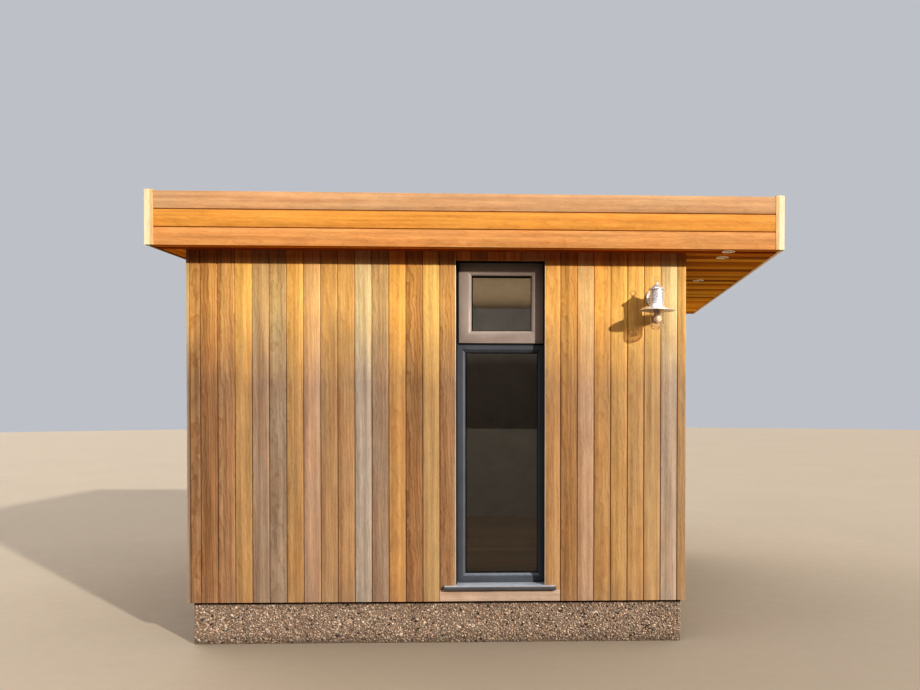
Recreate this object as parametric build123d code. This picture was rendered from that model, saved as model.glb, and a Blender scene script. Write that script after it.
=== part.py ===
from build123d import *
import os
from math import cos, sin, radians, pi

# Garden office pod: a flat-roofed, cedar-clad timber building on a pebble-dashed
# masonry plinth, with a deep canopy over its door side.
# Millimetres. +Z up, ground at Z = 0. +X is the canopy and door side, -Y is the
# window side. Origin: centre of the plinth's footprint, on the ground.

# ---------------------------------------------------------------- dimensions
WX = 3244.0            # cladding face to cladding face, rear to door side
WY = 3640.0            # cladding face to cladding face, window side to far side
HX, HY = WX / 2, WY / 2

# depths measured inwards from the cladding face
CLAD_T = 20.0          # tongue and groove boards
CAVITY_IN = 45.0       # back of the battens = outside of the stud wall
STUD_IN = 140.0        # inside of the stud wall
LINING_IN = 155.0      # inside of the plaster lining
PLINTH_OUT = 30.0      # plinth face stands back under the cladding
PLINTH_IN = 140.0

# heights
Z_SLAB = 100.0         # oversite concrete
Z_CLAD = 276.0         # lower edge of the cladding
Z_PLINTH = 300.0       # top of the plinth
Z_FLOOR_UNDER = 200.0
Z_FLOOR = 347.0        # top of the floor cassette
Z_FINISH = 365.0       # top of the floor boards
Z_CEIL = 2575.0        # underside of the ceiling lining
Z_FASCIA = 2566.0      # lower edge of the fascias
Z_SOFFIT = 2569.0      # underside of the soffit boards
Z_ROOF_UNDER = 2590.0
Z_ROOF = 2868.0        # top of the roof panel
Z_MEMBRANE = 2874.0
Z_KERB = 2900.0
Z_FASCIA_TOP = 2904.0
Z_POST_TOP = 2912.0

# roof edges
OVER_FRONT = 606.0
OVER_REAR = 175.0
OVER_SIDE = 180.0
FASCIA_T = 22.0
TRIM_W = 55.0          # corner trims, from the fascia face
POST_PROUD = 2.0
RX1, RX0 = HX + OVER_FRONT, -HX - OVER_REAR
RY = HY + OVER_SIDE

# window in the -Y wall
WIN_X0, WIN_X1 = 100.5, 700.5      # outside of the frame
WIN_Z0, WIN_Z1 = 383.0, 2521.0
WIN_CLEAR_X0, WIN_CLEAR_X1 = 110.0, 691.0   # edges of the cladding
WIN_CLEAR_Z1 = 2512.0
WIN_FACE_IN, WIN_BACK_IN = 85.0, 155.0
MEMBER = 61.0          # frame member, seen from the front
LOW_Z0, LOW_Z1 = 445.0, 1915.0     # daylight of the lower pane
UP_Z0 = 1990.0
UP_Z1 = WIN_Z1 - MEMBER
SASH_X0, SASH_X1 = 119.5, 681.5
SASH_Z0, SASH_Z1 = 1976.0, 2509.0
SASH_PROUD = 14.0
SASH_GX0, SASH_GX1 = 203.0, 598.0
SASH_GZ0, SASH_GZ1 = 2060.5, 2419.5
PANE_T = 28.0
SILL_Z0, SILL_Z1 = 352.0, 383.0
SILL_X0, SILL_X1 = 37.0, 767.0
SILL_NOSE = 28.0
APRON_X0, APRON_X1 = 5.0, 795.0    # horizontal board under the sill

# glazed doors in the +X wall
DOOR_Y = 900.0         # half width outside the frame
DOOR_CLEAR_Y = 891.0
DOOR_Z0, DOOR_Z1 = 352.0, 2521.0
DOOR_CLEAR_Z1 = 2512.0
THRESH_TOP = 383.0
JAMB = 60.0
LEAF_GAP = 4.0
STILE = 95.0
LEAF_BOTTOM, LEAF_TOP = 120.0, 95.0
DOOR_APRON_Y = 999.0   # half length of the board under the threshold

# wall lantern on the window wall
LAN_X = 1414.0
LAN_OUT = 150.0        # axis from the cladding face
LAN_Y = -HY - LAN_OUT
BRIM_R, BRIM_Z = 117.0, 2177.0
BODY_R, BODY_Z0, BODY_Z1 = 46.0, 2196.0, 2311.0
LID_R, LID_TOP = 57.0, 2349.0
JAR_R, JAR_Z0 = 47.0, 2054.0

# recessed lights in the canopy
LIGHT_X = 1886.0
LIGHT_R, LIGHT_T = 45.0, 5.0
LIGHT_Y = (-1905.0, -1680.0, -583.0, 514.0, 1611.0)

os.makedirs("parts", exist_ok=True)


def box(x0, x1, y0, y1, z0, z1):
    """Box between two corners."""
    return Pos((x0 + x1) / 2, (y0 + y1) / 2, (z0 + z1) / 2) * Box(
        abs(x1 - x0), abs(y1 - y0), abs(z1 - z0))


def cyl(x, y, z0, z1, r):
    return Pos(x, y, (z0 + z1) / 2) * Cylinder(r, z1 - z0)


def save(name, *solids):
    shape = solids[0] if len(solids) == 1 else Compound(children=list(solids))
    export_step(shape, os.path.join("parts", name + ".step"))


# ------------------------------------------------------------------- plinth
px, py = HX - PLINTH_OUT, HY - PLINTH_OUT
qx, qy = HX - PLINTH_IN, HY - PLINTH_IN
save("plinth_side_walls",
     box(-px, px, -py, -qy, 0, Z_PLINTH),
     box(-px, px, qy, py, 0, Z_PLINTH))
save("plinth_end_walls",
     box(-px, -qx, -qy, qy, 0, Z_PLINTH),
     box(qx, px, -qy, qy, 0, Z_PLINTH))
save("oversite_slab", box(-qx, qx, -qy, qy, 0, Z_SLAB))
save("floor_frame", box(-qx, qx, -qy, qy, Z_FLOOR_UNDER, Z_FLOOR))

# -------------------------------------------------------------- stud walls
sx, sy = HX - CAVITY_IN, HY - CAVITY_IN        # outside of the studwork
ix, iy = HX - STUD_IN, HY - STUD_IN            # inside of the studwork
save("window_wall_frame_sides",
     box(-sx, WIN_X0, -sy, -iy, Z_PLINTH, Z_ROOF_UNDER),
     box(WIN_X1, sx, -sy, -iy, Z_PLINTH, Z_ROOF_UNDER))
save("window_wall_frame_head_and_base",
     box(WIN_X0, WIN_X1, -sy, -iy, WIN_Z1, Z_ROOF_UNDER),
     box(WIN_X0, WIN_X1, -sy, -iy, Z_PLINTH, SILL_Z0))
save("door_wall_frame_sides",
     box(ix, sx, -iy, -DOOR_Y, Z_PLINTH, Z_ROOF_UNDER),
     box(ix, sx, DOOR_Y, iy, Z_PLINTH, Z_ROOF_UNDER))
save("door_wall_frame_head_and_base",
     box(ix, sx, -DOOR_Y, DOOR_Y, DOOR_Z1, Z_ROOF_UNDER),
     box(ix, sx, -DOOR_Y, DOOR_Y, Z_PLINTH, DOOR_Z0))
save("far_wall_frame", box(-sx, sx, iy, sy, Z_PLINTH, Z_ROOF_UNDER))
save("rear_wall_frame", box(-sx, -ix, -iy, iy, Z_PLINTH, Z_ROOF_UNDER))

# ------------------------------------------------- linings, floor, ceiling
lx, ly = HX - LINING_IN, HY - LINING_IN
lining = box(-ix, ix, -iy, iy, Z_FLOOR, Z_CEIL) - box(-lx, lx, -ly, ly, Z_FLOOR, Z_CEIL)
lining -= box(WIN_X0, WIN_X1, -iy, -ly, Z_FLOOR, WIN_Z1)
lining -= box(lx, ix, -DOOR_Y, DOOR_Y, Z_FLOOR, DOOR_Z1)
save("wall_lining", *lining.solids())
save("floor_boards", box(-lx, lx, -ly, ly, Z_FLOOR, Z_FINISH))
save("ceiling_lining", box(-ix, ix, -iy, iy, Z_CEIL, Z_ROOF_UNDER))

# ----------------------------------------------------------------- battens
bx, by = HX - CLAD_T, HY - CLAD_T              # back of the cladding
B_H = 50.0
rows_full = (Z_PLINTH, Z_ROOF_UNDER - B_H)
rows_mid = (850.0, 1400.0, 1950.0)
END_GAP = 2.0
fy = sy - END_GAP
battens = []
for z in rows_full:
    battens.append(box(-bx, bx, -by, -sy, z, z + B_H))
    battens.append(box(sx, bx, -fy, fy, z, z + B_H))
for z in rows_mid:
    battens.append(box(-bx, WIN_X0, -by, -sy, z, z + B_H))
    battens.append(box(WIN_X1, bx, -by, -sy, z, z + B_H))
    battens.append(box(sx, bx, -fy, -DOOR_Y, z, z + B_H))
    battens.append(box(sx, bx, DOOR_Y, fy, z, z + B_H))
for z in rows_full + rows_mid:
    battens.append(box(-bx, bx, sy, by, z, z + B_H))
    battens.append(box(-bx, -sx, -fy, fy, z, z + B_H))
save("cladding_battens", *battens)

# ---------------------------------------------------------------- cladding
# The last board of the window wall runs over the edge of the door wall's first board.
# At the other corners the boards of the +X and -X walls run over the side boards.
save("window_wall_cladding_sides",
     box(-bx, WIN_CLEAR_X0, -HY, -by, Z_CLAD, Z_ROOF_UNDER)
     - box(APRON_X0, WIN_CLEAR_X0, -HY, -by, Z_CLAD, SILL_Z0),
     box(WIN_CLEAR_X1, HX, -HY, -by, Z_CLAD, Z_ROOF_UNDER)
     - box(WIN_CLEAR_X1, APRON_X1, -HY, -by, Z_CLAD, SILL_Z0))
save("window_wall_cladding_head",
     box(WIN_CLEAR_X0, WIN_CLEAR_X1, -HY, -by, WIN_CLEAR_Z1, Z_ROOF_UNDER))
save("door_wall_cladding_sides",
     box(bx, HX, -by, -DOOR_CLEAR_Y, Z_CLAD, Z_ROOF_UNDER)
     - box(bx, HX, -DOOR_APRON_Y, -DOOR_CLEAR_Y, Z_CLAD, DOOR_Z0),
     box(bx, HX, DOOR_CLEAR_Y, HY, Z_CLAD, Z_ROOF_UNDER)
     - box(bx, HX, DOOR_CLEAR_Y, DOOR_APRON_Y, Z_CLAD, DOOR_Z0))
save("door_wall_cladding_head",
     box(bx, HX, -DOOR_CLEAR_Y, DOOR_CLEAR_Y, DOOR_CLEAR_Z1, Z_ROOF_UNDER))
save("far_wall_cladding", box(-bx, bx, by, HY, Z_CLAD, Z_ROOF_UNDER))
save("rear_wall_cladding", box(-HX, -bx, -HY, HY, Z_CLAD, Z_ROOF_UNDER))
save("apron_boards",
     box(APRON_X0, APRON_X1, -HY, -by, Z_CLAD, SILL_Z0),
     box(bx, HX, -DOOR_APRON_Y, DOOR_APRON_Y, Z_CLAD, DOOR_Z0))

# Linings of the two reveals, from the back of the cladding to the frames.
w_face = -HY + WIN_FACE_IN
d_face = HX - WIN_FACE_IN
win_reveal = (box(WIN_X0, WIN_X1, -by, w_face, SILL_Z1, WIN_Z1)
              - box(WIN_CLEAR_X0, WIN_CLEAR_X1, -by, w_face, SILL_Z1, WIN_CLEAR_Z1))
door_reveal = (box(d_face, bx, -DOOR_Y, DOOR_Y, THRESH_TOP, DOOR_Z1)
               - box(d_face, bx, -DOOR_CLEAR_Y, DOOR_CLEAR_Y, THRESH_TOP, DOOR_CLEAR_Z1))
save("reveal_linings", *win_reveal.solids(), *door_reveal.solids())

# ------------------------------------------------------------ roof and eaves
fx0, fx1, fyy = RX0 + FASCIA_T, RX1 - FASCIA_T, RY - FASCIA_T
save("roof_panel", box(fx0, fx1, -fyy, fyy, Z_ROOF_UNDER, Z_ROOF))
save("roof_membrane", box(fx0, fx1, -fyy, fyy, Z_ROOF, Z_MEMBRANE))
K = 50.0
save("roof_kerbs",
     box(fx0, fx1, -fyy, -fyy + K, Z_MEMBRANE, Z_KERB),
     box(fx0, fx1, fyy - K, fyy, Z_MEMBRANE, Z_KERB),
     box(fx0, fx0 + K, -fyy + K + 1, fyy - K - 1, Z_MEMBRANE, Z_KERB),
     box(fx1 - K, fx1, -fyy + K + 1, fyy - K - 1, Z_MEMBRANE, Z_KERB))
tx0, tx1, ty = RX0 + TRIM_W, RX1 - TRIM_W, RY - TRIM_W
save("side_fascias",
     box(tx0, tx1, -RY, -fyy, Z_FASCIA, Z_FASCIA_TOP),
     box(tx0, tx1, fyy, RY, Z_FASCIA, Z_FASCIA_TOP))
save("front_fascia", box(fx1, RX1, -ty, ty, Z_FASCIA, Z_FASCIA_TOP))
save("rear_fascia", box(RX0, fx0, -ty, ty, Z_FASCIA, Z_FASCIA_TOP))
P = POST_PROUD
trims = []
for xo, xi, xe in ((RX0 - P, fx0, tx0), (RX1 + P, fx1, tx1)):
    for yo, yi, ye in ((-RY - P, -fyy, -ty), (RY + P, fyy, ty)):
        trims.append(box(xo, xe, yo, yi, Z_FASCIA, Z_POST_TOP)
                     + box(xo, xi, yo, ye, Z_FASCIA, Z_POST_TOP))
save("fascia_corner_posts", *[t.solids()[0] for t in trims])
save("canopy_soffit", box(HX, fx1, -fyy, fyy, Z_SOFFIT, Z_ROOF_UNDER))
eaves = (box(fx0, HX, -fyy, fyy, Z_SOFFIT, Z_ROOF_UNDER)
         - box(-HX, HX, -HY, HY, Z_SOFFIT, Z_ROOF_UNDER))
save("eaves_soffit", *eaves.solids())

# ------------------------------------------------------------------ window
w_back = -HY + WIN_BACK_IN
gx0, gx1 = WIN_X0 + MEMBER, WIN_X1 - MEMBER
frame = box(WIN_X0, WIN_X1, w_face, w_back, WIN_Z0, WIN_Z1)
frame -= box(gx0, gx1, w_face, w_back, LOW_Z0, LOW_Z1)
frame -= box(gx0, gx1, w_face, w_back, UP_Z0, UP_Z1)
save("window_frame", *frame.solids())
s_face = w_face - SASH_PROUD
s_back = w_back - 6
sash = (box(SASH_X0, SASH_X1, s_face, w_face, SASH_Z0, SASH_Z1)
        + box(gx0, gx1, w_face, s_back, UP_Z0, UP_Z1))
sash -= box(SASH_GX0, SASH_GX1, s_face, s_back, SASH_GZ0, SASH_GZ1)
save("window_sash", *sash.solids())
pane_y = w_face + 18
save("window_glass",
     box(gx0, gx1, pane_y, pane_y + PANE_T, LOW_Z0, LOW_Z1),
     box(SASH_GX0, SASH_GX1, pane_y, pane_y + PANE_T, SASH_GZ0, SASH_GZ1))
sill = (box(SILL_X0, SILL_X1, -HY - SILL_NOSE, -HY, SILL_Z0, SILL_Z1 - 2)
        + box(WIN_CLEAR_X0, WIN_CLEAR_X1, -HY, -by, SILL_Z0, SILL_Z1)
        + box(WIN_X0, WIN_X1, -by, w_back, SILL_Z0, SILL_Z1))
save("window_sill", *sill.solids())

# ------------------------------------------------------------------- doors
d_back = HX - WIN_BACK_IN
dframe = (box(d_back, d_face, -DOOR_Y, DOOR_Y, THRESH_TOP, DOOR_Z1)
          - box(d_back, d_face, -DOOR_Y + JAMB, DOOR_Y - JAMB, THRESH_TOP, DOOR_Z1 - JAMB))
save("door_frame", *dframe.solids())
thresh = (box(d_back, bx, -DOOR_Y, DOOR_Y, DOOR_Z0, THRESH_TOP)
          + box(bx, HX, -DOOR_CLEAR_Y, DOOR_CLEAR_Y, DOOR_Z0, THRESH_TOP)
          + box(HX, HX + 24, -DOOR_CLEAR_Y - 40, DOOR_CLEAR_Y + 40, DOOR_Z0, THRESH_TOP - 2))
save("door_threshold", *thresh.solids())
leaf_y = DOOR_Y - JAMB - LEAF_GAP
leaf_z0, leaf_z1 = THRESH_TOP + LEAF_GAP, DOOR_Z1 - JAMB - LEAF_GAP
ld0, ld1 = d_back + 4, d_face - 6
leaves, panes = [], []
for s in (-1, 1):
    a, b = s * LEAF_GAP / 2, s * leaf_y
    y0, y1 = min(a, b), max(a, b)
    g0, g1 = y0 + STILE, y1 - STILE
    leaf = (box(ld0, ld1, y0, y1, leaf_z0, leaf_z1)
            - box(ld0, ld1, g0, g1, leaf_z0 + LEAF_BOTTOM, leaf_z1 - LEAF_TOP))
    leaves += leaf.solids()
    panes.append(box(ld0 + 16, ld0 + 16 + PANE_T, g0, g1,
                     leaf_z0 + LEAF_BOTTOM, leaf_z1 - LEAF_TOP))
save("door_leaves", *leaves)
save("door_glass", *panes)
handles = []
HZ = Z_FINISH + 1050.0
for s in (-1, 1):
    yc = s * (LEAF_GAP / 2 + STILE / 2)
    plate = box(ld1, ld1 + 9, yc - 16, yc + 16, HZ - 120, HZ + 120)
    neck = Pos(ld1 + 9 + 20, yc, HZ + 40) * Rot(0, 90, 0) * Cylinder(9, 40)
    lever_end = yc + s * 118
    lever = box(ld1 + 38, ld1 + 54, min(yc - s * 10, lever_end), max(yc - s * 10, lever_end),
                HZ + 31, HZ + 49)
    handles += (plate + neck + lever).solids()
save("door_handles", *handles)

# ---------------------------------------------------------------- lantern
PLATE_T, PLATE_R = 14.0, 58.0
ARM_R, ARM_Z = 22.0, 2272.0
plate = Pos(LAN_X, -HY - PLATE_T / 2, ARM_Z) * Rot(90, 0, 0) * Cylinder(PLATE_R, PLATE_T)
arm_len = LAN_OUT - PLATE_T
arm = Pos(LAN_X, -HY - PLATE_T - arm_len / 2, ARM_Z) * Rot(90, 0, 0) * Cylinder(ARM_R, arm_len)
arm -= cyl(LAN_X, LAN_Y, BODY_Z0, BODY_Z1, BODY_R)
bracket = plate + arm
save("lantern_bracket", *bracket.solids())

CAVITY_R, CAVITY_TOP = 50.0, 2203.0
profile = [(0, CAVITY_TOP), (CAVITY_R, CAVITY_TOP), (CAVITY_R, BODY_Z0 - 4),
           (60, BODY_Z0 - 7), (BRIM_R, BRIM_Z - 2), (BRIM_R, BRIM_Z + 2),
           (62, BODY_Z0), (54, 2205), (BODY_R, 2222), (BODY_R, BODY_Z1), (LID_R, BODY_Z1 + 1),
           (LID_R, BODY_Z1 + 5), (30, BODY_Z1 + 21), (12, LID_TOP - 3), (9, LID_TOP + 10),
           (0, LID_TOP + 10)]
wire = Polyline(*[(r, 0, z) for r, z in profile], close=True)
hood = revolve(make_face(wire), axis=Axis.Z, revolution_arc=360)
ring = Pos(0, 0, LID_TOP + 27) * Rot(90, 0, 0) * Torus(16, 2)
hood = Pos(LAN_X, LAN_Y, 0) * (hood + ring)
save("lantern_hood", *hood.solids())

jar_profile = [(0, JAR_Z0), (JAR_R - 27, JAR_Z0 + 2), (JAR_R - 13, JAR_Z0 + 9), (JAR_R - 4, JAR_Z0 + 21),
               (JAR_R, JAR_Z0 + 36), (JAR_R, CAVITY_TOP), (JAR_R - 4, CAVITY_TOP), (JAR_R - 4, JAR_Z0 + 37),
               (JAR_R - 8, JAR_Z0 + 24), (JAR_R - 15, JAR_Z0 + 13), (JAR_R - 29, JAR_Z0 + 6),
               (0, JAR_Z0 + 4)]
jar = revolve(make_face(Polyline(*[(r, 0, z) for r, z in jar_profile], close=True)),
              axis=Axis.Z, revolution_arc=360)
save("lantern_jar", Pos(LAN_X, LAN_Y, 0) * jar)

lamp_profile = [(0, CAVITY_TOP), (0, 2089), (16, 2092), (28, 2103), (32.5, 2120), (29, 2138),
                (19, 2151), (15, 2158), (14, 2162), (21, 2162), (21, CAVITY_TOP)]
lamp = revolve(make_face(Polyline(*[(r, 0, z) for r, z in lamp_profile], close=True)),
               axis=Axis.Z, revolution_arc=360)
save("lantern_lamp", Pos(LAN_X, LAN_Y, 0) * lamp)

# -------------------------------------------------------- canopy downlights
save("canopy_downlights",
     *[cyl(LIGHT_X, y, Z_SOFFIT - LIGHT_T, Z_SOFFIT, LIGHT_R) for y in LIGHT_Y])
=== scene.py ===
import bpy
import bmesh
import numpy as np
from math import sin, cos, pi, radians, sqrt
from mathutils import Matrix, Vector


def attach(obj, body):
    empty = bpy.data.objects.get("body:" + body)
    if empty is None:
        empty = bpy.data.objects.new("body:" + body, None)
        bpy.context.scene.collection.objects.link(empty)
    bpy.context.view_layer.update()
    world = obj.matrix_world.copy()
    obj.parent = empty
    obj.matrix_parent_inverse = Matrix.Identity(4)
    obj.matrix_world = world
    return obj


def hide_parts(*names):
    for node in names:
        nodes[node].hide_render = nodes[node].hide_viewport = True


# Garden office pod. Metres, +Z up, ground at 0, +X is the canopy side and -Y the window side.

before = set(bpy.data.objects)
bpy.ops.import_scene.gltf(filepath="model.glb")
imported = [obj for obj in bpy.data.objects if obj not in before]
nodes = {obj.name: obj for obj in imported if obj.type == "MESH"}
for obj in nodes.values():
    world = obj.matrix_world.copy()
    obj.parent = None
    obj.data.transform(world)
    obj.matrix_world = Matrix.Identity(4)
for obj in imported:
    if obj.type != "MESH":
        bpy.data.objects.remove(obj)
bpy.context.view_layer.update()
RNG = np.random.default_rng(4207)

# ------------------------------------------------------------------ dimensions
HX, HY = 1.622, 1.820                  # cladding faces
T = 0.020                              # cladding boards
BX, BY = HX - T, HY - T
PX, PY = HX - 0.030, HY - 0.030        # plinth faces
Z_CLAD, Z_FASCIA, Z_SOFFIT, Z_UNDER = 0.276, 2.566, 2.569, 2.590
Z_TOP, Z_POST = 2.904, 2.912
RX0, RX1, RY = -1.797, 2.228, 2.000
FX0, FX1, FY = RX0 + 0.022, RX1 - 0.022, RY - 0.022      # backs of the fascia boards
TX0, TX1, TY = RX0 + 0.055, RX1 - 0.055, RY - 0.055      # inner edges of the corner trims
WX0, WX1, WZ0, WZ1 = 0.1005, 0.7005, 0.383, 2.521
CX0, CX1, CZ1 = 0.110, 0.691, 2.512
FACE, BACK = 0.085, 0.155
DY, DCY = 0.900, 0.891

# ---------------------------------------------------------------------- camera
yaw, pit, rol = radians(2.061), radians(0.850), radians(0.106)
fw = Vector((sin(yaw) * cos(pit), cos(yaw) * cos(pit), -sin(pit)))
rt = Vector((cos(yaw), -sin(yaw), 0))
up = rt.cross(fw)
r2 = rt * cos(rol) + up * sin(rol)
u2 = up * cos(rol) - rt * sin(rol)
cam_data = bpy.data.cameras.new("camera")
cam_data.sensor_width = 36.0
cam_data.sensor_fit = "HORIZONTAL"
cam_data.lens = 853.0 / 920.0 * 36.0
cam_data.shift_x = -0.1539
cam_data.shift_y = 0.0749
cam_data.clip_start, cam_data.clip_end = 0.05, 300.0
cam = bpy.data.objects.new("camera", cam_data)
bpy.context.scene.collection.objects.link(cam)
m = Matrix((r2, u2, -fw)).transposed().to_4x4()
m.translation = Vector((0.8638, -7.4355, 1.5934))
cam.matrix_world = m
bpy.context.scene.camera = cam


# ---------------------------------------------------------------- mesh builder
class Mesh:
    """Collects closed shapes: vertices, faces, a material index per face, and three values
    per vertex: gr (grain coordinates across, through, along), tone (colour and grain) and edge."""

    def __init__(self):
        self.v, self.f, self.mi, self.gr, self.tone, self.edge = [], [], [], [], [], []
        self.n = 0

    def add(self, verts, faces, mat=0, gr=None, tone=(0.5, 0.5, 0.5, 0.5), edge=None):
        verts = np.asarray(verts, float).reshape(-1, 3)
        k = len(verts)
        self.v.append(verts)
        self.gr.append(verts if gr is None else np.asarray(gr, float).reshape(-1, 3))
        t = np.asarray(tone, float)
        self.tone.append(np.tile(t, (k, 1)) if t.ndim == 1 else t)
        self.edge.append(np.zeros(k) if edge is None else np.asarray(edge, float))
        base = self.n
        self.f.extend([tuple(base + i for i in face) for face in faces])
        self.mi.extend([mat] * len(faces))
        self.n += k

    def build(self, name, mats, smooth=35.0, fix=True):
        me = bpy.data.meshes.new(name)
        v = np.concatenate(self.v)
        me.from_pydata(v.tolist(), [], self.f)
        me.polygons.foreach_set("material_index", np.array(self.mi, np.int32))
        me.polygons.foreach_set("use_smooth", np.full(len(self.mi), smooth is not None))
        a = me.attributes.new("gr", "FLOAT_VECTOR", "POINT")
        a.data.foreach_set("vector", np.concatenate(self.gr).astype(np.float32).ravel())
        a = me.attributes.new("tone", "FLOAT_COLOR", "POINT")
        a.data.foreach_set("color", np.concatenate(self.tone).astype(np.float32).ravel())
        a = me.attributes.new("edge", "FLOAT", "POINT")
        a.data.foreach_set("value", np.concatenate(self.edge).astype(np.float32))
        for mat in mats:
            me.materials.append(mat)
        if fix:
            bm = bmesh.new()
            bm.from_mesh(me)
            bmesh.ops.recalc_face_normals(bm, faces=bm.faces)
            bm.to_mesh(me)
            bm.free()
        if smooth is not None:
            me.set_sharp_from_angle(angle=radians(smooth))
        me.update()
        ob = bpy.data.objects.new(name, me)
        bpy.context.scene.collection.objects.link(ob)
        return ob


def piece(mesh, name, mats, slot, *replaced, smooth=35.0, fix=True):
    ob = mesh.build(name, mats if isinstance(mats, (list, tuple)) else [mats], smooth, fix)
    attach(ob, "root")
    if replaced:
        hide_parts(*replaced)
    return ob


def prism(M, prof, O, U, N, V, v0, v1, mat=0, tone=(0.5, 0.5, 0.5, 0.5), edge=None, gr0=None, seg=1, wob=0.0):
    """A closed profile (u, n) run along V from v0 to v1."""
    prof = np.asarray(prof, float)
    k = len(prof)
    O, U, N, V = (np.asarray(q, float) for q in (O, U, N, V))
    gr0 = RNG.uniform(-1, 1, 3) * (0.05, 0.05, 3.0) + (0, 0.09, 0) if gr0 is None else np.asarray(gr0)
    verts, gr = [], []
    for i in range(seg + 1):
        t = v0 + (v1 - v0) * i / seg
        w = wob * RNG.uniform(-1, 1) if 0 < i < seg else 0.0
        verts.append(O + np.outer(prof[:, 0], U) + np.outer(prof[:, 1] + w, N) + t * V)
        gr.append(np.column_stack([prof[:, 0] + gr0[0], prof[:, 1] + gr0[1], np.full(k, t + gr0[2])]))
    faces = []
    for i in range(seg):
        a, b = i * k, (i + 1) * k
        faces += [(a + j, a + (j + 1) % k, b + (j + 1) % k, b + j) for j in range(k)]
    faces.append(tuple(range(k))[::-1])
    faces.append(tuple(seg * k + j for j in range(k)))
    e = None if edge is None else np.tile(np.asarray(edge, float), seg + 1)
    M.add(np.concatenate(verts), faces, mat, np.concatenate(gr), tone, e)


def tg(w, th=T, e=0.0040, g=0.0004, left="tongue", right="groove", back=0.0):
    """Board profile with V-eased edges, from u = 0 to the cover width w, face at n = 0.
    Returns the outline and how deep each point sits in the joint."""
    p, d = [], []

    def q(u, n, k=0.0):
        p.append((u, n))
        d.append(k)
    gl = g if left != "plain" else 0.0
    gg = g if right != "plain" else 0.0
    q(gl, -th + back, 1)
    q(w - gg, -th + back, 1)
    if right == "groove":
        q(w - gg, -0.0130, 1)
        q(w - gg - 0.0070, -0.0130, 1)
        q(w - gg - 0.0070, -0.0060, 1)
        q(w - gg, -0.0060, 1)
    er = e if right != "plain" else 0.0012
    q(w - gg, -er, 1 if right != "plain" else 0.2)
    q(w - gg - 0.80 * er, -0.14 * er, 0.35 if right != "plain" else 0.0)
    q(w - gg - 1.25 * er, 0)
    el = e if left != "plain" else 0.0012
    q(gl + 1.25 * el, 0)
    q(gl + 0.80 * el, -0.14 * el, 0.35 if left != "plain" else 0.0)
    q(gl, -el, 1 if left != "plain" else 0.2)
    if left == "tongue":
        q(gl, -0.0065, 1)
        q(gl - 0.0058, -0.0065, 1)
        q(gl - 0.0058, -0.0125, 1)
        q(gl, -0.0125, 1)
    return p, d


def rbox(M, lo, hi, r=0.002, seg=1, mat=0, tone=(0.5, 0.5, 0.5, 0.5), gr0=None, along=2):
    """Box with eased edges. along is the axis of its grain."""
    lo, hi = np.minimum(lo, hi), np.maximum(lo, hi)
    bm = bmesh.new()
    bmesh.ops.create_cube(bm, size=1.0)
    for v in bm.verts:
        v.co = Vector((lo + hi) / 2) + Vector(np.array(v.co) * (hi - lo))
    if r > 0:
        bmesh.ops.bevel(bm, geom=list(bm.edges), offset=min(r, 0.45 * float(min(hi - lo))), segments=seg,
                        profile=0.5, affect="EDGES")
    bm.verts.index_update()
    v = np.array([tuple(x.co) for x in bm.verts])
    f = [tuple(x.index for x in face.verts) for face in bm.faces]
    bm.free()
    order = {2: (0, 1, 2), 0: (1, 2, 0), 1: (0, 2, 1)}[along]
    gr0 = RNG.uniform(-1, 1, 3) * (0.05, 0.05, 3.0) + (0, 0.09, 0) if gr0 is None else gr0
    M.add(v, f, mat, (v - lo)[:, order] + gr0, tone)


def lathe(M, cx, cy, prof, seg=48, mat=0, tone=(0.5, 0.5, 0.5, 0.5), closed=True):
    """Profile (r, z) turned about the vertical through (cx, cy)."""
    rings, verts, faces = [], [], []
    for r, z in prof:
        if r < 1e-6:
            rings.append([len(verts)])
            verts.append((cx, cy, z))
        else:
            rings.append(list(range(len(verts), len(verts) + seg)))
            verts += [(cx + r * cos(2 * pi * i / seg), cy + r * sin(2 * pi * i / seg), z) for i in range(seg)]
    k = len(prof)
    for j in range(k if closed else k - 1):
        a, b = rings[j], rings[(j + 1) % k]
        if len(a) == 1 and len(b) == 1:
            continue
        for i in range(seg):
            i2 = (i + 1) % seg
            if len(a) == 1:
                faces.append((a[0], b[i2], b[i]))
            elif len(b) == 1:
                faces.append((a[i], a[i2], b[0]))
            else:
                faces.append((a[i], a[i2], b[i2], b[i]))
    M.add(verts, faces, mat, None, tone)


def tube(M, pts, r, seg=10, closed=False, mat=0, tone=(0.5, 0.5, 0.5, 0.5)):
    pts = [Vector(p) for p in pts]
    n = len(pts)
    rings, verts, faces = [], [], []
    prev = None
    for i, p in enumerate(pts):
        if closed:
            d = (pts[(i + 1) % n] - pts[i - 1]).normalized()
        else:
            d = (pts[min(i + 1, n - 1)] - pts[max(i - 1, 0)]).normalized()
        if prev is None:
            a = Vector((0, 0, 1)) if abs(d.z) < 0.9 else Vector((1, 0, 0))
            nrm = (a - d * a.dot(d)).normalized()
        else:
            nrm = (prev - d * prev.dot(d)).normalized()
        prev = nrm
        b = d.cross(nrm)
        rr = r[i] if hasattr(r, "__len__") else r
        rings.append(len(verts))
        verts += [tuple(p + (nrm * cos(2 * pi * k / seg) + b * sin(2 * pi * k / seg)) * rr) for k in range(seg)]
    for i in range(n if closed else n - 1):
        a, b = rings[i], rings[(i + 1) % n]
        faces += [(a + k, a + (k + 1) % seg, b + (k + 1) % seg, b + k) for k in range(seg)]
    if not closed:
        faces += [tuple(range(seg))[::-1], tuple(rings[-1] + k for k in range(seg))]
    M.add(verts, faces, mat, None, tone)


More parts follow.
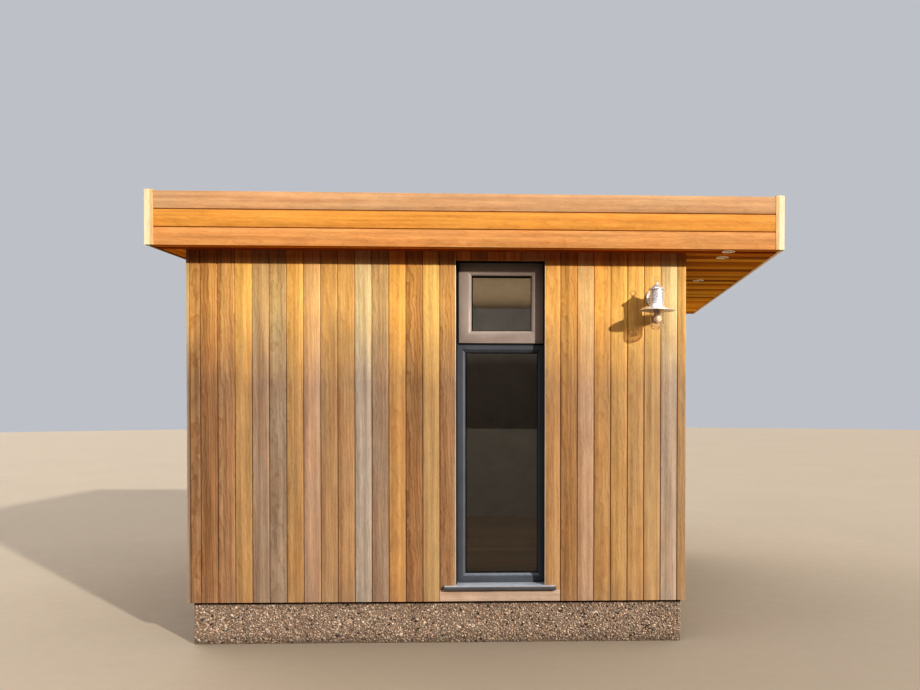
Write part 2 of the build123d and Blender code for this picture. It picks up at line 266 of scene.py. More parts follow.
# ------------------------------------------------------------ procedural finish
class Mat:
    def __init__(self, name):
        self.m = bpy.data.materials.new(name)
        self.m.use_nodes = True
        self.nt = self.m.node_tree
        self.nt.nodes.clear()
        self.out = self.node("ShaderNodeOutputMaterial")

    def node(self, kind, **kw):
        n = self.nt.nodes.new(kind)
        for k, v in kw.items():
            setattr(n, k, v)
        return n

    def put(self, sock, val):
        if isinstance(val, bpy.types.NodeSocket):
            self.nt.links.new(val, sock)
        elif hasattr(val, "__len__") and len(val) == 3 and len(sock.default_value) == 4:
            sock.default_value = (*val, 1.0)
        else:
            sock.default_value = val

    def math(self, op, a, b=None, c=None, clamp=False):
        n = self.node("ShaderNodeMath", operation=op, use_clamp=clamp)
        for i, x in enumerate((a, b, c)):
            if x is not None:
                self.put(n.inputs[i], x)
        return n.outputs[0]

    def mix(self, fac, a, b, blend="MIX"):
        n = self.node("ShaderNodeMix", data_type="RGBA", blend_type=blend, clamp_factor=True)
        self.put(n.inputs[0], fac)
        self.put(n.inputs[6], a)
        self.put(n.inputs[7], b)
        return n.outputs[2]

    def scale(self, vec, by, loc=(0, 0, 0)):
        n = self.node("ShaderNodeMapping", vector_type="POINT")
        self.put(n.inputs["Vector"], vec)
        n.inputs["Scale"].default_value = by
        n.inputs["Location"].default_value = loc
        return n.outputs[0]

    def noise(self, vec, scale=1.0, detail=3.0, rough=0.5, dist=0.0, colour=False):
        n = self.node("ShaderNodeTexNoise")
        self.put(n.inputs["Vector"], vec)
        n.inputs["Scale"].default_value = scale
        n.inputs["Detail"].default_value = detail
        n.inputs["Roughness"].default_value = rough
        n.inputs["Distortion"].default_value = dist
        return n.outputs[1 if colour else 0]

    def voronoi(self, vec, scale=1.0, feature="F1", out="Distance", rand=1.0):
        n = self.node("ShaderNodeTexVoronoi", feature=feature)
        self.put(n.inputs["Vector"], vec)
        n.inputs["Scale"].default_value = scale
        n.inputs["Randomness"].default_value = rand
        return n.outputs[out]

    def ramp(self, fac, stops, mode="LINEAR"):
        n = self.node("ShaderNodeValToRGB")
        n.color_ramp.interpolation = mode
        el = n.color_ramp.elements
        while len(el) < len(stops):
            el.new(0.5)
        for e, (pos, col) in zip(el, stops):
            e.position = pos
            e.color = (*col, 1.0) if hasattr(col, "__len__") else (col, col, col, 1.0)
        self.put(n.inputs[0], fac)
        return n.outputs[0]

    def range(self, val, a, b, c, d):
        n = self.node("ShaderNodeMapRange", clamp=True)
        for i, x in enumerate((val, a, b, c, d)):
            self.put(n.inputs[i], x)
        return n.outputs[0]

    def attr(self, name, out="Vector"):
        n = self.node("ShaderNodeAttribute", attribute_name=name)
        return n.outputs[out]

    def coord(self):
        return self.node("ShaderNodeTexCoord").outputs["Object"]

    def split(self, vec):
        n = self.node("ShaderNodeSeparateXYZ")
        self.put(n.inputs[0], vec)
        return n.outputs

    def join(self, x, y, z):
        n = self.node("ShaderNodeCombineXYZ")
        for i, q in enumerate((x, y, z)):
            self.put(n.inputs[i], q)
        return n.outputs[0]

    def bump(self, height, strength=0.5, dist=0.001, normal=None):
        n = self.node("ShaderNodeBump")
        n.inputs["Strength"].default_value = strength
        n.inputs["Distance"].default_value = dist
        self.put(n.inputs["Height"], height)
        if normal is not None:
            self.put(n.inputs["Normal"], normal)
        return n.outputs[0]

    def shader(self, colour, rough, metal=0.0, normal=None, **kw):
        n = self.node("ShaderNodeBsdfPrincipled")
        self.put(n.inputs["Base Color"], colour)
        self.put(n.inputs["Roughness"], rough)
        n.inputs["Metallic"].default_value = metal
        if normal is not None:
            self.put(n.inputs["Normal"], normal)
        for k, v in kw.items():
            self.put(n.inputs[k.replace("_", " ")], v)
        self.nt.links.new(n.outputs[0], self.out.inputs[0])
        return n


def wood(name, rough=0.62, strong=1.0, dirt=(0.30, 0.17, 0.09), base_weather=True, spec=0.32):
    """Planed cedar: growth rings cut along the board, long streaks, fine fibres, a rare pin knot.
    Walls are brighter and more orange near the eaves and darker and pinker brown below: partly unweathered against
    weathered wood, partly painted sunlight above and painted shade below. A band just under the eaves is painted shade,
    and the feet of the walls are greyest."""
    k = Mat(name)
    gr = k.attr("gr")
    tone = k.node("ShaderNodeAttribute", attribute_name="tone")
    edge = k.attr("edge", "Fac")
    x, y, z = k.split(gr)
    # the rings of a leaning log, seen on the sawn face
    w1 = k.math("MULTIPLY_ADD", k.noise(k.scale(gr, (9, 9, 1.1)), 1.0, 2.0, 0.5), 0.034, -0.017)
    w2 = k.math("MULTIPLY_ADD", k.noise(k.scale(gr, (5, 5, 0.9), (3.1, 7.7, 1.3)), 1.0, 2.0, 0.5), 0.060, -0.030)
    xx = k.math("ADD", x, w1)
    w3 = k.math("MULTIPLY_ADD", k.noise(k.scale(gr, (11, 11, 5.5), (2.0, 4.0, 6.0)), 1.0, 3.0, 0.55), 0.034, -0.017)
    yy = k.math("ADD", k.math("ADD", k.math("MULTIPLY_ADD", z, 0.022, y), w2), w3)
    rad = k.math("SQRT", k.math("ADD", k.math("MULTIPLY", xx, xx), k.math("MULTIPLY", yy, yy)))
    ring = k.math("FRACT", k.math("MULTIPLY", rad, 98.0))
    late = k.ramp(ring, [(0.0, 0.0), (0.55, 0.25), (0.86, 1.0), (1.0, 0.0)])
    wide = k.math("FRACT", k.math("MULTIPLY", rad, 26.0))
    band = k.ramp(wide, [(0.0, 0.1), (0.45, 0.9), (0.8, 0.35), (1.0, 0.1)])
    streak = k.noise(k.scale(gr, (34, 34, 0.75)), 1.0, 4.0, 0.62)
    slow = k.noise(k.scale(gr, (8, 8, 1.7), (5.0, 1.0, 2.0)), 1.0, 3.0, 0.55)
    fibre = k.noise(k.scale(gr, (780, 780, 16)), 1.0, 2.0, 0.6)
    amount = k.math("MULTIPLY", tone.outputs["Alpha"], strong)
    dark = k.math("MULTIPLY", k.math("MULTIPLY_ADD", late, 0.62, k.math("MULTIPLY", band, 0.24)), amount)
    lively = k.math("MULTIPLY_ADD", tone.outputs["Alpha"], 1.1, 0.38, clamp=True)
    s1 = k.math("MULTIPLY_ADD", k.range(streak, 0.30, 0.70, 0.24, -0.26), lively, 1.0)
    base = k.mix(1.0, tone.outputs["Color"], k.join(s1, k.math("MULTIPLY_ADD", s1, 1.10, -0.10),
                                                    k.math("MULTIPLY_ADD", s1, 1.20, -0.20)), "MULTIPLY")
    hue = k.range(slow, 0.35, 0.65, 0.0, 1.0)
    base = k.mix(k.math("MULTIPLY", hue, 0.30), base, k.mix(1.0, base, (1.12, 0.86, 0.66), "MULTIPLY"))
    base = k.mix(dark, base, k.mix(1.0, base, (0.58, 0.42, 0.32), "MULTIPLY"))
    f1 = k.range(fibre, 0.3, 0.7, 0.93, 1.06)
    base = k.mix(1.0, base, k.join(f1, f1, f1), "MULTIPLY")
    # cloudy patches and short dark flecks
    cloud = k.range(k.noise(k.scale(gr, (19, 19, 6.5), (1.0, 8.0, 3.0)), 1.0, 4.0, 0.62), 0.30, 0.70, 0.92, 1.08)
    base = k.mix(1.0, base, k.join(cloud, cloud, cloud), "MULTIPLY")
    fleck = k.noise(k.scale(gr, (230, 230, 38), (4.0, 2.0, 9.0)), 1.0, 2.0, 0.6)
    base = k.mix(k.math("MULTIPLY", k.range(fleck, 0.56, 0.72, 0.0, 0.5), lively), base, k.mix(1.0, base, (0.66, 0.56, 0.50), "MULTIPLY"))
    # pin knots, few and far apart
    kv = k.voronoi(k.scale(gr, (4.0, 4.0, 1.3)), 1.0)
    knot = k.range(kv, 0.010, 0.022, 1.0, 0.0)
    base = k.mix(k.math("MULTIPLY", knot, 0.55), base, (0.16, 0.07, 0.028))
    # dirt lies in the joints, fainter near the eaves where the boards carry painted sunlight; rain splash greys the
    # feet of the boards
    if not base_weather:
        base = k.mix(k.math("MULTIPLY", edge, 0.62), base, k.mix(1.0, base, dirt, "MULTIPLY"))
    else:
        pz = k.split(k.coord())[2]
        fresh_and_sunlit = k.range(k.math("MULTIPLY_ADD", slow, 0.25, pz), 1.82, 2.36, 0.0, 1.0)
        grime = k.math("MULTIPLY", edge, k.range(fresh_and_sunlit, 0.0, 1.0, 0.62, 0.14))
        base = k.mix(grime, base, k.mix(1.0, base, dirt, "MULTIPLY"))
        splash = k.noise(k.scale(k.coord(), (14, 14, 3)), 1.0, 3.0, 0.6)
        low = k.math("MULTIPLY", k.range(pz, 0.27, 0.52, 0.55, 0.0), k.range(splash, 0.3, 0.7, 0.2, 1.0))
        base = k.mix(low, base, k.mix(0.5, base, (0.20, 0.15, 0.11)))
        # painted light: boards near the eaves are made brighter and more orange (painted sunlight as well as
        # unweathered wood), boards lower down darker and pinker (painted shade as well as weathering)
        base = k.mix(1.0, base, k.mix(fresh_and_sunlit, (0.84, 0.885, 1.04), (1.41, 1.43, 1.22)), "MULTIPLY")
        # painted shade: the boards in a band about 60 mm deep just under the eaves are darkened and reddened, where the
        # eaves' shadow falls
        base = k.mix(k.range(pz, 2.470, 2.530, 0.0, 1.0), base, k.mix(1.0, base, (0.74, 0.53, 0.48), "MULTIPLY"))
    rg = k.range(streak, 0.3, 0.7, rough + 0.08, rough - 0.08)
    h = k.math("ADD", k.math("MULTIPLY", fibre, 0.5), k.math("MULTIPLY", late, 0.35))
    nrm = k.bump(h, 0.45, 0.0006)
    k.shader(base, rg, 0.0, nrm, Specular_IOR_Level=spec)
    return k.m


def stone_render(name):
    """Cement render between the stones of the plinth."""
    k = Mat(name)
    c = k.coord()
    a = k.noise(c, 11.0, 4.0, 0.6)
    b = k.noise(c, 240.0, 3.0, 0.65)
    g = k.voronoi(c, 170.0)
    col = k.ramp(a, [(0.3, (0.160, 0.122, 0.095)), (0.5, (0.205, 0.158, 0.124)), (0.7, (0.250, 0.200, 0.160))])
    col = k.mix(k.range(b, 0.35, 0.7, 0.0, 0.55), col, (0.30, 0.235, 0.19))
    z = k.split(c)[2]
    damp = k.math("MULTIPLY", k.range(z, 0.0, 0.09, 0.55, 0.0), k.range(a, 0.3, 0.6, 0.3, 1.0))
    col = k.mix(damp, col, (0.075, 0.060, 0.048))
    # painted shadow: the top of the plinth, from 0.253 m up under the boards, is darkened almost to black
    col = k.mix(k.range(z, 0.253, 0.263, 0.0, 0.90), col, (0.030, 0.016, 0.012))
    nrm = k.bump(k.math("ADD", b, k.math("MULTIPLY", g, -0.6)), 0.9, 0.004)
    k.shader(col, k.range(b, 0.3, 0.7, 0.97, 0.85), 0.0, nrm, Specular_IOR_Level=0.2)
    return k.m


def pebble(name):
    k = Mat(name)
    t = k.attr("tone", "Color")
    c = k.coord()
    n = k.noise(c, 160.0, 3.0, 0.6)
    s = k.range(n, 0.3, 0.7, 0.72, 1.22)
    col = k.mix(1.0, t, k.join(s, s, s), "MULTIPLY")
    z = k.split(c)[2]
    col = k.mix(k.range(z, 0.0, 0.07, 0.45, 0.0), col, (0.085, 0.068, 0.052))
    # painted shadow: the stones at the top of the plinth, under the boards, are darkened in the same way
    col = k.mix(k.range(z, 0.253, 0.263, 0.0, 0.90), col, (0.030, 0.016, 0.012))
    k.shader(col, k.range(n, 0.3, 0.7, 0.70, 0.92), 0.0, k.bump(n, 0.4, 0.001), Specular_IOR_Level=0.2)
    return k.m


def coated(name, base, rough=0.42, dust=(0.34, 0.31, 0.28), dusty=0.10, spec=0.5, grain=0.0, wall=0.25, even=0.2):
    """Powder-coated or foiled frame finish: fine peel, and a pale tint on upward faces that is dust and, where the tint
    is bluish, also a painted sky reflection.
    """
    k = Mat(name)
    c = k.coord()
    peel = k.noise(c, 900.0, 2.0, 0.5)
    big = k.noise(c, 5.0, 3.0, 0.6)
    smear = k.noise(k.scale(c, (38, 38, 9)), 1.0, 3.0, 0.6)
    col = k.ramp(big, [(0.3, tuple(0.92 * q for q in base)), (0.7, tuple(min(1, 1.08 * q) for q in base))])
    up_ = k.split(k.node("ShaderNodeNewGeometry").outputs["Normal"])[2]
    dust_and_sky_mask = k.math("MULTIPLY", k.range(up_, 0.1, 0.9, wall, 1.0), k.range(smear, 0.35, 0.7, even, 1.0))
    # upward faces are tinted towards the dust colour: real dust, and with a bluish tint also a painted reflection of
    # the sky
    col = k.mix(k.math("MULTIPLY", dust_and_sky_mask, dusty * 2.2), col, dust)
    rg = k.math("ADD", k.range(smear, 0.3, 0.7, rough - 0.05, rough + 0.10), k.math("MULTIPLY", dust_and_sky_mask, 0.12))
    k.shader(col, rg, 0.0, k.bump(peel, 0.12 + grain, 0.0003), Specular_IOR_Level=spec)
    return k.m


def rubber(name, base=(0.020, 0.020, 0.021)):
    k = Mat(name)
    c = k.coord()
    n = k.noise(c, 300.0, 3.0, 0.6)
    col = k.ramp(n, [(0.3, base), (0.75, tuple(1.9 * q for q in base))])
    k.shader(col, k.range(n, 0.3, 0.7, 0.68, 0.86), 0.0, k.bump(n, 0.3, 0.0004), Specular_IOR_Level=0.35)
    return k.m


def glazing(name, tint=(0.93, 0.945, 0.935), ior=1.45):
    """Window glass: clear with a slight tint, mirrors more at a slant, a little dust."""
    k = Mat(name)
    c = k.coord()
    n = k.noise(c, 2.6, 4.0, 0.65)
    spots = k.noise(c, 90.0, 3.0, 0.7)
    wave = k.bump(k.noise(c, 1.7, 1.0, 0.4), 0.06, 0.004)
    clear = k.node("ShaderNodeBsdfTransparent")
    k.put(clear.inputs[0], k.mix(k.range(n, 0.3, 0.7, 0.0, 0.35), tint, tuple(0.97 * q for q in tint)))
    gloss = k.node("ShaderNodeBsdfGlossy")
    gloss.inputs["Color"].default_value = (0.95, 0.97, 1.0, 1.0)
    k.put(gloss.inputs["Roughness"], k.range(n, 0.3, 0.75, 0.0, 0.03))
    k.put(gloss.inputs["Normal"], wave)
    film = k.node("ShaderNodeBsdfDiffuse")
    film.inputs["Color"].default_value = (0.62, 0.60, 0.56, 1.0)
    fres = k.node("ShaderNodeFresnel")
    fres.inputs["IOR"].default_value = ior
    a = k.node("ShaderNodeMixShader")
    k.put(a.inputs[0], fres.outputs[0])
    k.put(a.inputs[1], clear.outputs[0])
    k.put(a.inputs[2], gloss.outputs[0])
    b = k.node("ShaderNodeMixShader")
    k.put(b.inputs[0], k.math("MULTIPLY", k.range(spots, 0.45, 0.8, 0.0, 0.05), k.range(n, 0.35, 0.7, 0.2, 1.0)))
    k.put(b.inputs[1], a.outputs[0])
    k.put(b.inputs[2], film.outputs[0])
    k.nt.links.new(b.outputs[0], k.out.inputs[0])
    return k.m


def galvanised(name, tint=(0.84, 0.82, 0.83), rough=0.28):
    """Zinc-coated sheet: faint crystal spangle, dull patches, fine scratches."""
    k = Mat(name)
    c = k.coord()
    sp = k.voronoi(k.scale(c, (1, 1, 0.8)), 230.0, out="Color")
    s0 = k.split(sp)
    wet = k.noise(c, 26.0, 4.0, 0.6)
    fine = k.noise(k.scale(c, (60, 60, 900)), 1.0, 2.0, 0.6)
    v = k.range(s0[0], 0.0, 1.0, 0.90, 1.05)
    col = k.mix(1.0, tint, k.join(v, v, v), "MULTIPLY")
    col = k.mix(k.range(wet, 0.48, 0.72, 0.0, 0.40), col, (0.56, 0.54, 0.52))
    rg = k.math("ADD", k.range(s0[1], 0.0, 1.0, rough - 0.06, rough + 0.08), k.range(wet, 0.45, 0.7, 0.0, 0.12))
    h = k.math("ADD", k.math("MULTIPLY", s0[2], 0.35), k.math("MULTIPLY", fine, 0.25))
    k.shader(col, rg, 0.70, k.bump(h, 0.14, 0.0005))
    return k.m


def metal(name, tint, rough=0.3, brushed=(1, 1, 60), bump=0.1):
    k = Mat(name)
    c = k.coord()
    a = k.noise(k.scale(c, brushed), 30.0, 3.0, 0.6)
    b = k.noise(c, 22.0, 3.0, 0.6)
    v = k.range(a, 0.3, 0.7, 0.9, 1.08)
    col = k.mix(1.0, tint, k.join(v, v, v), "MULTIPLY")
    rg = k.math("ADD", k.range(a, 0.3, 0.7, rough - 0.06, rough + 0.06), k.range(b, 0.45, 0.7, 0.0, 0.12))
    k.shader(col, rg, 1.0, k.bump(a, bump, 0.0002))
    return k.m


def jar_glass(name):
    """Thick moulded glass with a hazy surface. Lamps reach what is behind it."""
    k = Mat(name)
    c = k.coord()
    n = k.noise(c, 28.0, 3.0, 0.6)
    col = k.ramp(n, [(0.3, (0.93, 0.88, 0.83)), (0.7, (0.97, 0.93, 0.89))])
    p = k.shader(col, k.range(n, 0.35, 0.75, 0.03, 0.10), 0.0, k.bump(n, 0.12, 0.001),
                 Transmission_Weight=0.97, IOR=1.46)
    clear = k.node("ShaderNodeBsdfTransparent")
    slant = k.node("ShaderNodeLayerWeight")
    slant.inputs["Blend"].default_value = 0.35
    k.put(clear.inputs[0], k.mix(slant.outputs["Facing"], (0.93, 0.91, 0.89), (0.30, 0.24, 0.19)))
    path = k.node("ShaderNodeLightPath")
    mx = k.node("ShaderNodeMixShader")
    k.put(mx.inputs[0], path.outputs["Is Shadow Ray"])
    k.put(mx.inputs[1], p.outputs[0])
    k.put(mx.inputs[2], clear.outputs[0])
    k.nt.links.new(mx.outputs[0], k.out.inputs[0])
    return k.m


def matt(name, base, rough=0.8, scale=30.0, vary=0.12, bump=0.25, dist=0.001, spec=0.3):
    """Mineral or painted surface with soft mottling."""
    k = Mat(name)
    c = k.coord()
    a = k.noise(c, scale, 4.0, 0.6)
    b = k.noise(c, scale * 14, 2.0, 0.6)
    lo = tuple(max(0, (1 - vary) * q) for q in base)
    hi = tuple(min(1, (1 + vary) * q) for q in base)
    col = k.ramp(a, [(0.3, lo), (0.7, hi)])
    h = k.math("ADD", a, k.math("MULTIPLY", b, 0.6))
    k.shader(col, k.range(b, 0.3, 0.7, rough - 0.06, min(1.0, rough + 0.06)), 0.0, k.bump(h, bump, dist),
             Specular_IOR_Level=spec)
    return k.m


def membrane(name):
    """Single-ply rubber roofing: soft wrinkles, chalky dust, water marks."""
    k = Mat(name)
    c = k.coord()
    a = k.noise(c, 1.6, 4.0, 0.62)
    b = k.noise(c, 9.0, 4.0, 0.6)
    g = k.noise(c, 700.0, 2.0, 0.5)
    col = k.ramp(a, [(0.32, (0.058, 0.059, 0.061)), (0.5, (0.072, 0.072, 0.073)), (0.68, (0.092, 0.090, 0.088))])
    rim = k.ramp(k.noise(c, 2.3, 3.0, 0.5, 0.6), [(0.46, 0.0), (0.495, 1.0), (0.51, 1.0), (0.55, 0.0)])
    col = k.mix(k.math("MULTIPLY", rim, 0.12), col, (0.18, 0.176, 0.165))
    h = k.math("ADD", k.math("MULTIPLY", b, 0.5), k.math("MULTIPLY", g, 0.1))
    k.shader(col, k.range(b, 0.3, 0.7, 0.66, 0.84), 0.0, k.bump(h, 0.25, 0.002), Specular_IOR_Level=0.35)
    return k.m


M_CEDAR = wood("cedar_boards")
M_TRIM = wood("cedar_roof_edge", base_weather=False)
M_SOFFIT = wood("cedar_soffit_boards", rough=0.70, base_weather=False, spec=0.08)
M_FLOOR = wood("floor_oak", rough=0.42, strong=0.8, base_weather=False, spec=0.4)
M_PLINTH = stone_render("plinth_render")
M_PEBBLE = pebble("plinth_stones")
# frame and sill: their pale bluish top tint is painted sky reflection as well as dust
M_FRAME = coated("frame_grey_coating", (0.082, 0.090, 0.104), dust=(0.42, 0.46, 0.54), dusty=0.16, wall=0.0, even=0.6)
# painted sunlight: the opener uses a lighter, warmer copy of the frame's grey coating, the way that coating looks in
# sun
M_SASH_PAINTED_SUNLIT = coated("opener_coating_painted_sunlit", (0.262, 0.222, 0.202), rough=0.46)
M_SILL = coated("sill_grey_coating", (0.086, 0.083, 0.086), rough=0.34, dust=(0.50, 0.53, 0.58), dusty=0.36, wall=0.0, even=0.8)
M_REVEAL = coated("reveal_dark_coating", (0.030, 0.028, 0.027), rough=0.5, dusty=0.05)
M_GASKET = rubber("glazing_gasket")
M_SPACER = matt("spacer_bar", (0.030, 0.030, 0.032), 0.5, 60.0, 0.2, 0.1)
M_VENT = rubber("vent_strip_plastic", (0.012, 0.012, 0.012))
M_GLASS = glazing("window_glass_pane")
M_GALV = galvanised("zinc_spangle")
M_HOLDER = matt("lampholder_porcelain", (0.60, 0.52, 0.45), 0.35, 60.0, 0.06, 0.08, spec=0.5)
M_WIRE = metal("lantern_ring_wire", (0.42, 0.36, 0.27), 0.5)
M_STEEL = metal("brushed_steel", (0.62, 0.61, 0.59), 0.26)
M_ALU = metal("mill_aluminium", (0.60, 0.61, 0.62), 0.34, (60, 1, 1))
M_BEZEL = metal("downlight_bezel", (0.80, 0.70, 0.62), 0.22, (8, 8, 8))
M_JAR = jar_glass("jar_glass_thick")
M_PLASTER = matt("plaster_paint_walls", (0.57, 0.585, 0.67), 0.85, 7.0, 0.07, 0.12)
M_CEILING = matt("plaster_paint_ceiling", (0.50, 0.405, 0.335), 0.85, 7.0, 0.07, 0.12)
M_CONCRETE = matt("oversite_concrete", (0.30, 0.29, 0.27), 0.9, 12.0, 0.22, 0.5, 0.002)
M_ROOF = membrane("roof_rubber")


def bulb_material():
    k = Mat("frosted_bulb")
    c = k.coord()
    n = k.noise(c, 40.0, 3.0, 0.6)
    col = k.ramp(n, [(0.3, (0.50, 0.37, 0.28)), (0.7, (0.62, 0.48, 0.38))])
    k.shader(col, k.range(n, 0.3, 0.7, 0.22, 0.36), 0.0, k.bump(n, 0.1, 0.0004), Transmission_Weight=0.35)
    return k.m


def lens_material():
    k = Mat("downlight_lens")
    c = k.coord()
    n = k.voronoi(c, 420.0)
    w = k.noise(c, 12.0, 3.0, 0.6)
    col = k.ramp(w, [(0.3, (0.36, 0.30, 0.25)), (0.7, (0.44, 0.38, 0.32))])
    k.shader(col, k.range(w, 0.3, 0.7, 0.18, 0.30), 0.0, k.bump(n, 0.5, 0.0008), Specular_IOR_Level=0.8)
    return k.m


M_BULB = bulb_material()
M_LENS = lens_material()

def near_plane(a, z, d):
    """Along the window wall, height, depth behind the boards' face."""
    return (a, -HY + d, z)


def door_plane(a, z, d):
    return (HX - d, a, z)


# --------------------------------------------------------------- board tones
TONE = {
    "golden": (0.435, 0.272, 0.118, 0.35),
    "palegold": (0.385, 0.272, 0.134, 0.35),
    "orange": (0.388, 0.258, 0.119, 0.40),
    "amber": (0.389, 0.251, 0.110, 0.40),
    "tan": (0.335, 0.230, 0.122, 0.40),
    "pinktan": (0.373, 0.267, 0.170, 0.35),
    "pale": (0.368, 0.304, 0.206, 0.35),
    "palegrey": (0.352, 0.293, 0.216, 0.35),
    "greybrown": (0.300, 0.228, 0.152, 0.50),
    "brown": (0.316, 0.208, 0.112, 0.75),
    "redbrown": (0.308, 0.198, 0.097, 0.90),
    "burnt": (0.320, 0.204, 0.093, 0.60),
}
MIXED = ["golden", "tan", "amber", "orange", "pinktan", "redbrown", "pale", "greybrown", "palegold", "tan", "brown", "burnt",
         "golden"]


def tone(name, vary=0.05):
    t = np.array(TONE[name] if isinstance(name, str) else name, float)
    t[:3] *= 1 + RNG.uniform(-vary, vary) + RNG.uniform(-0.35 * vary, 0.35 * vary, 3)
    return t


def wall(M, O, U, N, spans, th=T, V=(0, 0, 1)):
    """spans: (a0, a1, v0, v1, tone, left, right) along U."""
    for a0, a1, v0, v1, name, left, right in spans:
        p, d = tg(a1 - a0, th, left=left, right=right)
        lift = 0.0 if left == "plain" or right == "plain" else RNG.uniform(-0.0005, 0.0)
        o = np.asarray(O, float) + a0 * np.asarray(U, float) + lift * np.asarray(N, float)
        prism(M, p, o, U, N, V, v0, v1, 0, tone(name), d)


# ------------------------------------------------------------- wall: window side
near = Mesh()
left_names = ["brown", "redbrown", "brown", "orange", "greybrown", "greybrown", "orange", "pinktan", "tan", "tan", "palegrey",
              "greybrown", "golden", "redbrown", "palegold"]
edges = [-BX, -1.535] + [-1.535 + 0.110 * i for i in range(1, 15)]
spans = []
for i in range(len(edges) - 1):
    spans.append((edges[i], edges[i + 1], Z_CLAD, Z_UNDER, left_names[i], "groove0" if i == 0 else "tongue", "groove"))
spans.append((0.005, CX0 - 0.0062, 0.352, Z_UNDER, "brown", "tongue", "plain"))
spans.append((CX0 - 0.0060, CX0, 0.352, Z_UNDER, (0.400, 0.345, 0.270, 0.20), "plain", "plain"))
head = [0.110, 0.207, 0.317, 0.427, 0.537, 0.691]
for i in range(5):
    spans.append((head[i], head[i + 1], CZ1, Z_UNDER, MIXED[i], "tongue" if i else "groove0", "groove" if i < 4 else "plainish"))
spans.append((CX1, CX1 + 0.0060, 0.352, Z_UNDER, (0.385, 0.320, 0.235, 0.20), "plain", "plain"))
spans.append((CX1 + 0.0062, 0.795, 0.352, Z_UNDER, "orange", "plain", "groove"))
right_names = ["burnt", "pinktan", "amber", "amber", "orange", "palegold", "pale"]
for i, nme in enumerate(right_names):
    spans.append((0.795 + 0.110 * i, 0.905 + 0.110 * i, Z_CLAD, Z_UNDER, nme, "tongue", "groove"))
spans.append((1.565, HX, Z_CLAD, Z_UNDER, "tan", "tongue", "plain"))
wall(near, (0, -HY, 0), (1, 0, 0), (0, -1, 0), spans)
piece(near, "window_wall_boards", M_CEDAR, "cedar", "window_wall_cladding_sides", "window_wall_cladding_head")

# --------------------------------------------------------------- wall: door side
front = Mesh()
spans = [(-BY, -1.769, Z_CLAD, Z_UNDER, "golden", "plain", "groove")]
for i in range(7):
    spans.append((-1.769 + 0.110 * i, -1.659 + 0.110 * i, Z_CLAD, Z_UNDER, MIXED[(i * 3 + 1) % 13], "tongue", "groove"))
spans.append((-0.999, -DCY, 0.352, Z_UNDER, "tan", "tongue", "plain"))
hd = np.linspace(-DCY, DCY, 17)
for i in range(16):
    spans.append((hd[i], hd[i + 1], CZ1, Z_UNDER, MIXED[(i * 5 + 2) % 13], "tongue" if i else "groove0", "groove" if i < 15 else "plainish"))
spans.append((DCY, 0.999, 0.352, Z_UNDER, "golden", "plain", "groove"))
for i in range(7):
    spans.append((0.999 + 0.110 * i, 1.109 + 0.110 * i, Z_CLAD, Z_UNDER, MIXED[(i * 4 + 3) % 13], "tongue", "groove"))
spans.append((1.769, HY, Z_CLAD, Z_UNDER, "tan", "tongue", "plain"))
wall(front, (HX, 0, 0), (0, 1, 0), (1, 0, 0), spans)
piece(front, "door_wall_boards", M_CEDAR, "cedar", "door_wall_cladding_sides", "door_wall_cladding_head")

# ------------------------------------------------------------- walls: far and rear
far = Mesh()
ed = np.linspace(-BX, BX, 30)
wall(far, (0, HY, 0), (-1, 0, 0), (0, 1, 0),
     [(ed[i], ed[i + 1], Z_CLAD, Z_UNDER, MIXED[(i * 7 + i // 4) % 13],
       "tongue" if i else "groove0", "groove" if i < 28 else "plainish") for i in range(29)])
piece(far, "far_wall_boards", M_CEDAR, "cedar", "far_wall_cladding")
rear = Mesh()
ed = np.linspace(-HY, HY, 34)
wall(rear, (-HX, 0, 0), (0, -1, 0), (-1, 0, 0),
     [(ed[i], ed[i + 1], Z_CLAD, Z_UNDER, MIXED[(i * 8 + i // 3) % 13],
       "tongue" if i else "plain", "groove" if i < 32 else "plain") for i in range(33)])
piece(rear, "rear_wall_boards", M_CEDAR, "cedar", "rear_wall_cladding")

# ------------------------------------------------- aprons, reveals, window linings
apron = Mesh()
p, d = tg(0.0755, T, left="plain", right="plain")
prism(apron, p, (0, -HY, Z_CLAD), (0, 0, 1), (0, -1, 0), (1, 0, 0), 0.0056, 0.7944, 0,
      tone((0.515, 0.403, 0.278, 0.30)), d)
prism(apron, p, (HX, 0, Z_CLAD), (0, 0, 1), (1, 0, 0), (0, 1, 0), -0.9984, 0.9984, 0, tone("tan"), d)
piece(apron, "apron_trims", M_CEDAR, "cedar", "apron_boards")

rev = Mesh()


def lining(P, a0, a1, z0, z1, d0, d1, up_):
    """A folded strip between the back of the boards and the frame, with a small lip at both edges."""
    lo, hi = np.array(P(a0, z0, d0)), np.array(P(a1, z1, d1))
    rbox(rev, lo, hi, 0.0008, 1)
    for q0, q1 in ((d0 + 0.0005, d0 + 0.0035), (d1 - 0.0045, d1 - 0.0010)):
        if up_:
            rbox(rev, np.array(P(a0, z0 + 0.0003, q0)), np.array(P(a1 + up_ * 0.0009, z1 - 0.0003, q1)), 0.0003, 1)


yf = FACE
for P, x0, x1, c0, c1 in ((near_plane, WX0, WX1, CX0, CX1), (door_plane, -DY, DY, -DCY, DCY)):
    lining(P, x0, c0 - 0.0002, 0.383, CZ1, T, yf, 1)
    lining(P, x1, c1 + 0.0002, 0.383, CZ1, T, yf, -1)
    lining(P, x0, x1, CZ1, WZ1, T, yf, 0)
piece(rev, "reveal_flashings", M_REVEAL, "frame_grey", "reveal_linings")


